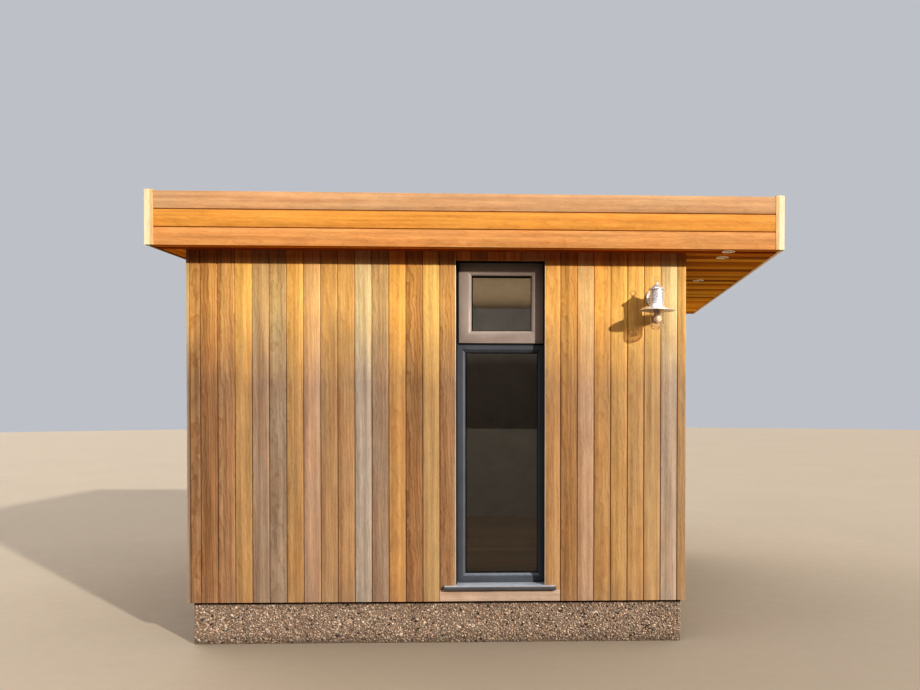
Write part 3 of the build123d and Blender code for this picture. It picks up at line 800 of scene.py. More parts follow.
# ----------------------------------------------------------------- roof edge
def fascia(M, O, U, N, length, tones, foot=(0.50, 0.32, 0.17, 0.3), worn=1.0):
    """Three tongued boards run along U."""
    h = (Z_TOP - Z_FASCIA) / 3
    O, U, N = (np.asarray(q, float) for q in (O, U, N))
    for i in range(3):
        p, d = tg(h, 0.0215, e=0.0042, left="tongue" if i else "plain", right="groove" if i < 2 else "plain")
        tn = np.tile(tone(tones[i], 0.02), (len(p), 1))
        if i == 0:
            tn[[j for j, q in enumerate(p) if q[0] < 0.0012]] = foot
            d = [v * worn if q[0] < 0.0012 else v for q, v in zip(p, d)]
        prism(M, p, O + np.array((0, 0, Z_FASCIA + i * h)), (0, 0, 1), N, U, 0, length, 0, np.tile(tn, (7, 1)), d, seg=6, wob=0.0002)


FASC = [(0.458, 0.262, 0.118, 0.30), (0.466, 0.256, 0.078, 0.26), (0.414, 0.274, 0.167, 0.24)]
side = Mesh()
fascia(side, (TX0, -RY, 0), (1, 0, 0), (0, -1, 0), TX1 - TX0, FASC)
fascia(side, (TX0, RY, 0), (1, 0, 0), (0, 1, 0), TX1 - TX0, [FASC[1], FASC[0], FASC[2]])
piece(side, "side_fascia_boards", M_TRIM, "cedar", "side_fascias")
ff = Mesh()
# painted highlight: the foot of the front fascia gets a pale tone and no joint dirt, for a bright line along its bottom
# edge
fascia(ff, (RX1, -TY, 0), (0, 1, 0), (1, 0, 0), 2 * TY, FASC, (0.86, 0.70, 0.50, 0.2), 0.0)
piece(ff, "front_fascia_boards", M_TRIM, "cedar", "front_fascia")
fr = Mesh()
fascia(fr, (RX0, -TY, 0), (0, 1, 0), (-1, 0, 0), 2 * TY, [FASC[0], FASC[2], FASC[1]])
piece(fr, "rear_fascia_boards", M_TRIM, "cedar", "rear_fascia")

corner = Mesh()
for sx in (-1, 1):
    for sy in (-1, 1):
        xo = (RX1 + 0.002) if sx > 0 else (RX0 - 0.002)
        xt = TX1 if sx > 0 else TX0
        yo, yt = sy * (RY + 0.002), sy * TY
        # a slip on the long side, and an angle that turns the corner
        rbox(corner, np.array((xt + sx * 0.0004, yo, Z_FASCIA)), np.array((xo - sx * 0.0357, yo - sy * 0.0225, Z_POST)), 0.0007, 1, 0,
             tone((0.496, 0.370, 0.218, 0.30), 0.03), None, 2)
        angle = [(0.0012, 0), (0.0346, 0), (0.0354, 0.0008), (0.0354, 0.0222), (0.0206, 0.0222), (0.0202, 0.0226), (0.0202, 0.0558),
                 (0.0194, 0.0566), (0.0010, 0.0566), (0, 0.0556), (0, 0.0012)]
        prism(corner, angle, (xo, yo, 0), (-sx, 0, 0), (0, -sy, 0), (0, 0, 1), Z_FASCIA, Z_POST, 0, tone((0.550, 0.522, 0.400, 0.20), 0.02),
              None, None, 5)
piece(corner, "fascia_corner_trims", M_TRIM, "cedar", "fascia_corner_posts")

# -------------------------------------------------------------------- soffits
soff = Mesh()
SOFT = [(0.720, 0.350, 0.020, 0.45), (0.620, 0.280, 0.016, 0.60), (0.780, 0.400, 0.026, 0.40), (0.500, 0.210, 0.013, 0.70),
        (0.820, 0.500, 0.070, 0.30)]
GAP = 0.001
SLOT0, SLOT1 = 1.900, 1.874          # ventilation slot along both long eaves
th = Z_UNDER - Z_SOFFIT


def soffit_board(u0, u1, v0, v1, along_x, t, left="tongue", right="groove"):
    p, d = tg(u1 - u0, th, e=0.0036, left=left, right=right)
    if along_x:
        prism(soff, p, (0, u0, Z_SOFFIT), (0, 1, 0), (0, 0, -1), (1, 0, 0), v0, v1, 0, tone(t, 0.08), d)
    else:
        prism(soff, p, (u0, 0, Z_SOFFIT), (1, 0, 0), (0, 0, -1), (0, 1, 0), v0, v1, 0, tone(t, 0.08), d)


a_, b_ = FX0 + GAP, FX1 - GAP
soffit_board(-FY + GAP, -SLOT0, a_, b_, True, SOFT[1], "plain", "plain")
# painted shade: the strip between the vent slot and the wall gets a darker, redder tone
soffit_board(-SLOT1, -HY, a_, b_, True, (0.360, 0.115, 0.010, 0.50), "plain", "groove0")
ys = np.linspace(-HY, HY, 34)
bright = {2, 5, 8, 10, 12, 15, 18, 20, 23, 26, 28, 31}
for i in range(33):
    r_, g_, b3, a3 = SOFT[4] if i in bright else SOFT[(i * 3 + i // 5) % 4]
    # painted light: canopy boards near the window side are darkened as painted shade and those farther back lightened
    # as painted light
    lift = 0.86 if i < 12 else 1.0 if i < 14 else 1.16
    soffit_board(ys[i], ys[i + 1], HX, b_, True, (min(0.88, r_ * lift), g_ * lift, b3 * lift, a3))
soffit_board(HY, SLOT1, a_, b_, True, SOFT[0], "tongue", "plain")
soffit_board(SLOT0, FY - GAP, a_, b_, True, SOFT[2], "plain", "plain")
mid = (a_ - HX) / 2
soffit_board(a_, mid, -HY, HY, False, SOFT[0], "plain", "groove")
soffit_board(mid, -HX, -HY, HY, False, SOFT[2], "tongue", "groove0")
piece(soff, "soffit_boarding", M_SOFFIT, "cedar_soffit", "canopy_soffit", "eaves_soffit")

# black louvred strip in each slot
vent = Mesh()
for sy in (-1, 1):
    y0, y1 = sy * SLOT0, sy * SLOT1
    rbox(vent, np.array((a_, y0, Z_UNDER - 0.0020)), np.array((b_, y1, Z_UNDER)), 0.0003, 1)
    for y in (y0 - sy * 0.0012, y1 + sy * 0.0012):
        rbox(vent, np.array((a_, y - 0.0011, Z_SOFFIT + 0.0060)), np.array((b_, y + 0.0011, Z_UNDER - 0.0021)), 0.0003, 1)
    for x in np.arange(a_ + 0.02, b_ - 0.01, 0.025):
        rbox(vent, np.array((x, y0 - sy * 0.0024, Z_SOFFIT + 0.0100)), np.array((x + 0.003, y1 + sy * 0.0024, Z_UNDER - 0.0021)), 0.0, 1)
piece(vent, "eaves_vent_strips", M_VENT, "membrane")


# ------------------------------------------------------------------ roof sheet
def roof_sheet():
    def axis(a, b, extra):
        d = [0, 0.003, 0.008, 0.040, 0.046, 0.050, 0.053, 0.060, 0.072, 0.09]
        s = set([round(a + q, 4) for q in d] + [round(b - q, 4) for q in d])
        s |= set(round(q, 4) for q in np.linspace(a + 0.13, b - 0.13, 62))
        for e_ in extra:
            s |= {round(e_ - 0.002, 4), round(e_, 4), round(e_ + 0.002, 4)}
        return np.array(sorted(s))
    seams = (-0.705, -0.625, 0.655, 0.735)
    xs, ys_ = axis(FX0, FX1, ()), axis(-FY, FY, seams)
    X, Y = np.meshgrid(xs, ys_, indexing="ij")
    dx = np.minimum(X - FX0, FX1 - X)
    dy = np.minimum(Y + FY, FY - Y)
    dd = np.minimum(dx, dy)
    flat = 2.8750 + 0.0011 * np.sin(2.7 * X + 1.3 * np.sin(3.1 * Y)) * np.cos(2.2 * Y + 0.8 * np.sin(4.3 * X))
    flat += 0.0009 * np.sin(11.0 * X + 3.0 * np.sin(2.0 * Y)) * np.sin(7.0 * Y + 2.0 * np.cos(5.0 * X))
    for a, b in ((seams[0], seams[1]), (seams[2], seams[3])):
        flat = flat + 0.0018 * ((Y > a - 1e-4) & (Y < b + 1e-4))
    t = np.clip((0.060 - dd) / 0.014, 0, 1)
    t = t * t * (3 - 2 * t)
    top = flat * (1 - t) + 2.8995 * t
    top = top - 0.0030 * np.clip((0.008 - dd) / 0.008, 0, 1) ** 2
    patch = (np.abs(dx - 0.12) < 0.09) & (np.abs(dy - 0.12) < 0.09)
    top = top + 0.0014 * patch * (t < 0.01)
    n, k_ = X.shape
    v = np.concatenate([np.column_stack([X.ravel(), Y.ravel(), top.ravel()]),
                        np.column_stack([X.ravel(), Y.ravel(), np.full(n * k_, 2.868)])])
    idx = np.arange(n * k_).reshape(n, k_)
    off = n * k_
    q = np.stack([idx[:-1, :-1], idx[1:, :-1], idx[1:, 1:], idx[:-1, 1:]], -1).reshape(-1, 4)
    faces = [tuple(r) for r in q.tolist()] + [tuple(r) for r in (q[:, ::-1] + off).tolist()]
    rim = list(idx[:, 0]) + list(idx[-1, 1:]) + list(idx[-2::-1, -1]) + list(idx[0, -2:0:-1])
    for i in range(len(rim)):
        a, b = int(rim[i]), int(rim[(i + 1) % len(rim)])
        faces.append((a, b, b + off, a + off))
    M = Mesh()
    M.add(v, faces)
    return piece(M, "roof_sheet", M_ROOF, "membrane", "roof_membrane", "roof_kerbs", smooth=50.0)


roof_sheet()


# ------------------------------------------------------- frames with mitred corners
def ring(M, P, x0, x1, z0, z1, prof, mat=0):
    """A closed profile (inwards from the outer edge, depth) run round a rectangle with mitred corners."""
    verts, faces = [], []
    k = len(prof)
    for cx, cz, sx, sz in ((x0, z0, 1, 1), (x1, z0, -1, 1), (x1, z1, -1, -1), (x0, z1, 1, -1)):
        verts += [P(cx + sx * i, cz + sz * i, d) for i, d in prof]
    for c in range(4):
        a, b = c * k, ((c + 1) % 4) * k
        faces += [(a + j, a + (j + 1) % k, b + (j + 1) % k, b + j) for j in range(k)]
    M.add(verts, faces, mat)


def bar(M, P, x0, x1, z0, z1, d0, d1, r=0.001, mat=0):
    lo = np.array(P(x0, z0, d0))
    hi = np.array(P(x1, z1, d1))
    rbox(M, lo, hi, r, 1, mat)


F = FACE
FR = [(0.0, F + 0.0015), (0.0004, F + 0.0004), (0.0015, F), (0.0400, F), (0.0411, F + 0.0004), (0.0415, F + 0.0015),
      (0.0415, BACK - 0.0015), (0.0400, BACK), (0.0, BACK)]
BEAD = [(0.0, F + 0.0045), (0.0006, F + 0.0034), (0.0022, F + 0.0030), (0.0040, F + 0.0042), (0.0172, F + 0.0140),
        (0.0188, F + 0.0152), (0.0195, F + 0.0166), (0.0195, BACK - 0.002), (0.0, BACK - 0.002)]
wf = Mesh()
ring(wf, near_plane, WX0, WX1, WZ0, WZ1, FR)
ring(wf, near_plane, WX0 + 0.0415, WX1 - 0.0415, 0.445 - 0.0195, 1.915 + 0.0195, BEAD)
bar(wf, near_plane, WX0 + 0.0415, WX1 - 0.0415, 1.9345, 1.990, F, BACK)
piece(wf, "window_outer_frame", M_FRAME, "frame_grey", "window_frame")

S = F - 0.014
sash = Mesh()
SASHP = [(0.0, F - 0.0004), (0.0, S + 0.0035), (0.0008, S + 0.0012), (0.0030, S), (0.0615, S), (0.0628, S + 0.0005),
         (0.0634, S + 0.0022), (0.0650, S + 0.0026), (0.0812, S + 0.0150), (0.0829, S + 0.0166), (0.0835, S + 0.0185),
         (0.0835, BACK - 0.006), (0.0420, BACK - 0.006), (0.0420, F - 0.0004)]
ring(sash, near_plane, 0.1195, 0.6815, 1.976, 2.509, SASHP)
piece(sash, "window_opener", M_SASH_PAINTED_SUNLIT, "frame_grey", "window_sash")

gk = Mesh()
PN = F + 0.018


def glazed(P, x0, x1, z0, z1, pane_d, panes, gaskets, spacers, over=0.0014):
    """Two sheets of glass, the bar between them and the gasket that holds them."""
    for a, b in ((0.0, 0.004), (0.024, 0.028)):
        lo, hi = np.array(P(x0, z0, pane_d + a)), np.array(P(x1, z1, pane_d + b))
        rbox(panes, lo, hi, 0.0008, 1)
    s = 0.0002
    ring(spacers, P, x0 + s, x1 - s, z0 + s, z1 - s,
         [(0.0, pane_d + 0.0042), (0.0026, pane_d + 0.0042), (0.0031, pane_d + 0.0052), (0.0031, pane_d + 0.0228),
          (0.0026, pane_d + 0.0238), (0.0, pane_d + 0.0238)])
    for f0, f1 in ((pane_d - 0.0040, pane_d - 0.0002), (pane_d + 0.0282, pane_d + 0.0320)):
        mid = (f0 + f1) / 2
        ring(gaskets, P, x0, x1, z0, z1,
             [(0.0, f0), (over * 0.7, f0 + 0.0006), (over, mid), (over * 0.8, f1), (0.0, f1)])


panes, spacers = Mesh(), Mesh()
glazed(near_plane, 0.1615, 0.6395, 0.445, 1.915, PN, panes, gk, spacers)
glazed(near_plane, 0.203, 0.598, 2.0605, 2.4195, PN, panes, gk, spacers)
# weather seal under the foot of the opener
bar(gk, near_plane, 0.1195, 0.6815, 1.9655, 1.9750, F - 0.0030, F - 0.0002, 0.0006)
piece(panes, "window_panes", M_GLASS, "glazing", "window_glass", smooth=None)
piece(gk, "window_gaskets", M_GASKET, "frame_grey")
piece(spacers, "window_spacers", M_SPACER, "frame_grey")

sl = Mesh()
# sill: a hollow-looking pressed profile, top falling outwards, a folded nose with a drip
nose = [(-0.028, 0.3775), (-0.0270, 0.3792), (-0.0250, 0.3800), (0.0, 0.3808), (0.0, 0.3725), (-0.0215, 0.3718),
        (-0.0215, 0.3560), (-0.0225, 0.3530), (-0.0245, 0.3520), (-0.0268, 0.3528), (-0.028, 0.3552)]


def run(M, P, prof, a0, a1, mat=0):
    """A closed profile (depth, height) run along the wall from a0 to a1."""
    k = len(prof)
    verts = [P(a0, z, d_) for d_, z in prof] + [P(a1, z, d_) for d_, z in prof]
    faces = [(j, (j + 1) % k, k + (j + 1) % k, k + j) for j in range(k)]
    faces += [tuple(range(k)), tuple(range(2 * k - 1, k - 1, -1))]
    M.add(verts, faces, mat)


run(sl, near_plane, nose, 0.0395, 0.7645)
under = [(-0.0213, 0.3716), (0.0, 0.3716), (0.0, 0.3525), (-0.0213, 0.3565)]
run(sl, near_plane, under, 0.0400, 0.7640)
run(sl, near_plane, [(0.0, 0.3525), (T, 0.3525), (T, 0.3822), (0.0, 0.3810)], CX0 + 0.0004, CX1 - 0.0004)
run(sl, near_plane, [(T, 0.3525), (BACK, 0.3525), (BACK, 0.3829), (T, 0.3822)], WX0, WX1)
for x in (0.037, 0.7645):      # end caps
    rbox(sl, np.array((x, -HY - 0.0280, 0.352)), np.array((x + 0.0025, -HY, 0.3812)), 0.0007, 1)
piece(sl, "window_sill_profile", M_SILL, "frame_grey", "window_sill")

# ----------------------------------------------------------------------- doors
df = Mesh()
J = 0.060
DFR = [(0.0, F + 0.0015), (0.0015, F), (J - 0.0015, F), (J, F + 0.0015), (J, F + 0.020), (J, BACK - 0.0015), (J - 0.0015, BACK),
       (0.0, BACK)]


def goal(M, P, x0, x1, z0, z1, prof):
    """The same as ring, but open at the foot: two uprights and a head."""
    k = len(prof)
    verts = []
    for cx, cz, sx, sz in ((x0, z0, 1, 0), (x0, z1, 1, -1), (x1, z1, -1, -1), (x1, z0, -1, 0)):
        verts += [P(cx + sx * i, cz + sz * i, d_) for i, d_ in prof]
    faces = []
    for c in range(3):
        a, b = c * k, (c + 1) * k
        faces += [(a + j, a + (j + 1) % k, b + (j + 1) % k, b + j) for j in range(k)]
    faces += [tuple(range(k)), tuple(3 * k + j for j in range(k))[::-1]]
    M.add(verts, faces)


goal(df, door_plane, -DY, DY, 0.383, 2.521, DFR)
piece(df, "door_outer_frame", M_FRAME, "frame_grey", "door_frame")

lv, dpan, dgk, dsp = Mesh(), Mesh(), Mesh(), Mesh()
LZ0, LZ1 = 0.387, 2.457
ld = BACK - 0.004                    # back of the leaf, depth from the cladding face
lf = F + 0.006                       # its face
for s in (-1, 1):
    y0, y1 = sorted((s * 0.002, s * 0.836))
    STL, LB, LT = 0.095, 0.120, 0.095
    gx0_, gx1_, gz0_, gz1_ = y0 + STL, y1 - STL, LZ0 + LB, LZ1 - LT
    # stiles run the full height, rails between them, a bevelled bead inside
    bw = 0.018
    for a0, a1 in ((y0, y0 + STL - bw), (y1 - STL + bw, y1)):
        bar(lv, door_plane, a0, a1, LZ0, LZ1, lf, ld, 0.0014)
    for b0, b1 in ((LZ0, LZ0 + LB - bw), (LZ1 - LT + bw, LZ1)):
        bar(lv, door_plane, y0 + STL - bw + 0.0001, y1 - STL + bw - 0.0001, b0, b1, lf, ld, 0.0014)
    ring(lv, door_plane, y0 + STL - bw, y1 - STL + bw, LZ0 + LB - bw, LZ1 - LT + bw,
         [(0.0, lf + 0.004), (0.0020, lf + 0.0028), (0.0040, lf + 0.0036), (0.0160, lf + 0.0135), (0.0180, lf + 0.0160),
          (0.0180, ld - 0.0015), (0.0, ld - 0.0015)])
    glazed(door_plane, gx0_, gx1_, gz0_, gz1_, ld - 0.016 - 0.028, dpan, dgk, dsp)
# weather strip that covers the meeting stiles
bar(lv, door_plane, -0.016, 0.016, LZ0, LZ1, lf - 0.0045, lf + 0.0002, 0.0015)
piece(lv, "door_leaf_frames", M_FRAME, "frame_grey", "door_leaves")
piece(dpan, "door_panes", M_GLASS, "glazing", "door_glass", smooth=None)
piece(dgk, "door_gaskets", M_GASKET, "frame_grey")
piece(dsp, "door_spacers", M_SPACER, "frame_grey")

hg = Mesh()
for s in (-1, 1):
    for z in (0.62, 1.42, 2.22):
        y = s * 0.838
        tube(hg, [(HX - lf + 0.0045, y, z + t_) for t_ in (-0.050, -0.049, 0.049, 0.050)], [0.0045, 0.0055, 0.0055, 0.0045], 16)
        for t_ in (-0.017, 0.017):
            tube(hg, [(HX - lf + 0.0045, y, z + t_ - 0.0012), (HX - lf + 0.0045, y, z + t_ + 0.0012)], 0.0062, 16)
piece(hg, "door_hinges", M_FRAME, "frame_grey")

dh = Mesh()
HZ = 1.415
xl = HX - lf
for s in (-1, 1):
    yc = s * 0.0495
    rbox(dh, np.array((xl, yc - 0.016, HZ - 0.120)), np.array((xl + 0.009, yc + 0.016, HZ + 0.120)), 0.004, 3)
    tube(dh, [(xl + 0.008, yc, HZ + 0.04), (xl + 0.030, yc, HZ + 0.04), (xl + 0.040, yc, HZ + 0.04), (xl + 0.0455, yc + s * 0.004, HZ + 0.04),
              (xl + 0.0465, yc + s * 0.012, HZ + 0.04), (xl + 0.0465, yc + s * 0.060, HZ + 0.04), (xl + 0.0460, yc + s * 0.104, HZ + 0.04),
              (xl + 0.0440, yc + s * 0.114, HZ + 0.04), (xl + 0.0400, yc + s * 0.118, HZ + 0.04)],
         [0.0095, 0.0090, 0.0088, 0.0088, 0.0086, 0.0082, 0.0078, 0.0074, 0.0060], 20)
    tube(dh, [(xl + 0.0085, yc, HZ + 0.04), (xl + 0.0135, yc, HZ + 0.04)], [0.0150, 0.0135], 28)
    tube(dh, [(xl + 0.0085, yc, HZ - 0.045), (xl + 0.0125, yc, HZ - 0.045)], [0.0115, 0.0105], 24)
    for t_ in (-0.105, 0.105):
        tube(dh, [(xl + 0.0085, yc, HZ + t_), (xl + 0.0105, yc, HZ + t_)], [0.0038, 0.0028], 14)
piece(dh, "door_lever_sets", M_STEEL, "handle_metal", "door_handles")

th_ = Mesh()
run(th_, door_plane, [(-0.024, 0.3790), (-0.0230, 0.3805), (0.0, 0.3812), (0.0, 0.3525), (-0.0200, 0.3560), (-0.0222, 0.3525),
                      (-0.0240, 0.3535)], -DCY - 0.040, DCY + 0.040)
run(th_, door_plane, [(0.0, 0.3525), (T, 0.3525), (T, 0.3815), (0.0, 0.3812)], -DCY, DCY)
run(th_, door_plane, [(T, 0.3525), (BACK, 0.3525), (BACK, 0.3829), (0.100, 0.3829), (0.096, 0.3822), (0.058, 0.3822),
                      (0.055, 0.3829), (0.052, 0.3829), (0.049, 0.3800), (0.045, 0.3800), (0.042, 0.3822), (0.038, 0.3822),
                      (0.035, 0.3800), (0.031, 0.3800), (0.028, 0.3820)], -DY, DY)
piece(th_, "door_threshold_profile", M_ALU, "threshold_metal", "door_threshold")

# --------------------------------------------------------------------- lantern
LX, LO = 1.414, 0.150
LY = -HY - LO
lb = Mesh()
# round wall plate, pressed with a raised rim
R0, PZC, PT = 0.058, 2.272, 0.014
arch = [(R0 * cos(t), PZC + R0 * sin(t)) for t in np.linspace(0, 2 * pi, 73)[:-1]]


def inset(pts, k):
    out = []
    n = len(pts)
    for i in range(n):
        a, b, c = np.array(pts[i - 1]), np.array(pts[i]), np.array(pts[(i + 1) % n])
        d1, d2 = (b - a), (c - b)
        d1, d2 = d1 / np.linalg.norm(d1), d2 / np.linalg.norm(d2)
        n1, n2 = np.array((-d1[1], d1[0])), np.array((-d2[1], d2[0]))
        nn = (n1 + n2)
        nn = nn / max(1e-9, np.linalg.norm(nn))
        q_ = k / max(0.35, nn.dot(n1))
        out.append(tuple(b + nn * q_))
    return out


layers = [(arch, 0.0), (arch, PT - 0.005), (inset(arch, 0.0012), PT - 0.0015), (inset(arch, 0.0035), PT), (inset(arch, 0.0085), PT),
          (inset(arch, 0.0110), PT - 0.0012), (inset(arch, 0.0135), PT - 0.0040)]
verts, faces = [], []
k = len(arch)
for pts, dep in layers:
    verts += [(LX + a, -HY - dep, z) for a, z in pts]
for i in range(len(layers) - 1):
    faces += [(i * k + j, i * k + (j + 1) % k, (i + 1) * k + (j + 1) % k, (i + 1) * k + j) for j in range(k)]
faces += [tuple(range(k)), tuple((len(layers) - 1) * k + j for j in range(k))]
lb.add(verts, faces)
tube(lb, [(LX, -HY - PT + 0.006, PZC), (LX, -HY - PT - 0.002, PZC), (LX, -HY - PT - 0.005, PZC), (LX, -HY - PT - 0.008, PZC),
          (LX, LY + 0.0425, PZC)], [0.033, 0.033, 0.030, 0.0225, 0.0215], 36)
for dx_, z in ((0.0, PZC + 0.0400), (-0.0346, PZC - 0.0200), (0.0346, PZC - 0.0200)):
    tube(lb, [(LX + dx_, -HY - PT + 0.006, z), (LX + dx_, -HY - PT + 0.0022, z), (LX + dx_, -HY - PT + 0.0006, z)],
         [0.0052, 0.0052, 0.0036], 16)
piece(lb, "lantern_back_plate", M_GALV, "galvanised", "lantern_bracket")

lh = Mesh()
BR, BZ, CR, LR = 0.117, 2.177, 0.0440, 0.0560        # brim, its height, cap, lid
# thin spun sheet with a rolled rim, a bead above the brim, a lid with a knob
hood = [(0.0500, 2.1940), (0.0580, 2.1936)]
hood += [(0.058 + (BR - 0.0625) * s_, 2.1936 - 0.0166 * s_ ** 0.85) for s_ in (0.25, 0.5, 0.75, 1.0)]
hood += [(BR - 0.0022 + 0.0022 * cos(t), BZ - 0.0002 + 0.0022 * sin(t)) for t in np.linspace(-2.4, 1.6, 10)]
hood += [(0.056 + (BR - 0.0608) * s_, 2.1975 - 0.0175 * s_ ** 0.85) for s_ in (1.0, 0.75, 0.5, 0.25)]
hood += [(0.0545, 2.2000), (0.0520, 2.2060), (CR + 0.0010, 2.2130), (CR, 2.2180), (CR, 2.2240), (CR + 0.0010, 2.2252), (CR + 0.0014, 2.2270),
         (CR + 0.0010, 2.2288), (CR, 2.2300), (CR, 2.3095), (LR - 0.0008, 2.3104), (LR, 2.3112), (LR, 2.3122), (LR - 0.0008, 2.3130),
         (0.0450, 2.3152), (0.0425, 2.3190), (0.0345, 2.3262), (0.0250, 2.3350), (0.0165, 2.3415), (0.0125, 2.3448), (0.0100, 2.3462), (0.0084, 2.3486),
         (0.0088, 2.3520), (0.0086, 2.3562), (0.0064, 2.3584), (0.0, 2.3590), (0.0, 2.2060), (0.0460, 2.2060), (0.0500, 2.2040)]
lathe(lh, LX, LY, hood, 80)
# screws in the cap
for i in range(3):
    t_ = 2 * pi * i / 3 + 0.4
    cx_, cy_ = LX + (CR - 0.0006) * cos(t_), LY + (CR - 0.0006) * sin(t_)
    tube(lh, [(cx_, cy_, 2.2420), (cx_ + 0.0026 * cos(t_), cy_ + 0.0026 * sin(t_), 2.2420), (cx_ + 0.0036 * cos(t_), cy_ + 0.0036 * sin(t_), 2.2420)],
         [0.0036, 0.0036, 0.0022], 12)
tube(lh, [(LX + 0.0162 * cos(t), LY, 2.3758 + 0.0162 * sin(t)) for t in np.linspace(0, 2 * pi, 41)[:-1]], 0.0017, 10, True, 1)
piece(lh, "lantern_spun_hood", [M_GALV, M_WIRE], "galvanised", "lantern_hood")

jr = Mesh()
JZ = 2.054
out_ = [(0.0, JZ), (0.010, JZ + 0.0004), (0.020, JZ + 0.0020), (0.028, JZ + 0.0052), (0.0345, JZ + 0.0098), (0.0400, JZ + 0.0160),
        (0.0440, JZ + 0.0235), (0.0462, JZ + 0.0310), (0.0470, JZ + 0.0390), (0.0470, 2.165), (0.0460, 2.170), (0.0455, 2.176), (0.0460, 2.182), (0.0465, 2.2025)]
in_ = [(0.0425, 2.2025), (0.0420, 2.182), (0.0416, 2.176), (0.0421, 2.170), (0.0432, 2.165), (0.0432, JZ + 0.0395), (0.0424, JZ + 0.0320),
       (0.0402, JZ + 0.0252), (0.0364, JZ + 0.0186), (0.0312, JZ + 0.0132), (0.0250, JZ + 0.0090), (0.0178, JZ + 0.0060),
       (0.0090, JZ + 0.0046), (0.0, JZ + 0.0043)]
lathe(jr, LX, LY, out_ + in_, 64, closed=False)
piece(jr, "lantern_glass_jar", M_JAR, "jar_glass", "lantern_jar", smooth=60.0)

bl = Mesh()
lathe(bl, LX, LY, [(0.0, 2.0895), (0.0090, 2.0905), (0.0178, 2.0944), (0.0255, 2.1008), (0.0305, 2.1095), (0.0324, 2.1200), (0.0316, 2.1300),
                   (0.0283, 2.1390), (0.0230, 2.1466), (0.0182, 2.1524), (0.0156, 2.1575), (0.0145, 2.1605), (0.0, 2.1605)], 48, 0)
lathe(bl, LX, LY, [(0.0, 2.1606), (0.0200, 2.1606), (0.0208, 2.1620), (0.0208, 2.1700), (0.0200, 2.1715), (0.0200, 2.1745), (0.0208, 2.1760),
                   (0.0208, 2.2030), (0.0, 2.2030)], 48, 1)
piece(bl, "lantern_bulb_and_holder", [M_BULB, M_HOLDER], "lamp", "lantern_lamp")

# ----------------------------------------------------------------- downlights
dl = Mesh()
DLX = 1.886
for y in (-1.905, -1.680, -0.583, 0.514, 1.611):
    zc = Z_SOFFIT
    lathe(dl, DLX, y, [(0.0450, zc), (0.0450, zc - 0.0010), (0.0440, zc - 0.0030), (0.0415, zc - 0.0046), (0.0385, zc - 0.0050), (0.0362, zc - 0.0046),
                       (0.0350, zc - 0.0034), (0.0335, zc - 0.0004), (0.0335, zc)], 56, 0)
    lathe(dl, DLX, y, [(0.0, zc - 0.0034), (0.0120, zc - 0.0032), (0.0220, zc - 0.0024), (0.0334, zc - 0.0006), (0.0334, zc - 0.0001), (0.0, zc - 0.0001)],
          56, 1)
piece(dl, "downlight_fittings", [M_BEZEL, M_LENS], "bezel_metal", "canopy_downlights")

# ------------------------------------------------------------------------ plinth
PEB = np.array([(0.325, 0.252, 0.195), (0.260, 0.208, 0.168), (0.392, 0.322, 0.262), (0.180, 0.145, 0.122), (0.070, 0.060, 0.054),
                (0.455, 0.390, 0.325), (0.352, 0.268, 0.226), (0.290, 0.260, 0.228), (0.480, 0.430, 0.375), (0.300, 0.205, 0.150)])
PW = np.array([0.22, 0.20, 0.16, 0.13, 0.05, 0.05, 0.09, 0.07, 0.00, 0.03])
g_ = (1 + sqrt(5)) / 2
ICO = np.array([(-1, g_, 0), (1, g_, 0), (-1, -g_, 0), (1, -g_, 0), (0, -1, g_), (0, 1, g_), (0, -1, -g_), (0, 1, -g_), (g_, 0, -1), (g_, 0, 1),
                (-g_, 0, -1), (-g_, 0, 1)]) / sqrt(1 + g_ * g_)
ICF = np.array([(0, 11, 5), (0, 5, 1), (0, 1, 7), (0, 7, 10), (0, 10, 11), (1, 5, 9), (5, 11, 4), (11, 10, 2), (10, 7, 6), (7, 1, 8), (3, 9, 4),
                (3, 4, 2), (3, 2, 6), (3, 6, 8), (3, 8, 9), (4, 9, 5), (2, 4, 11), (6, 2, 10), (8, 6, 7), (9, 8, 1)])


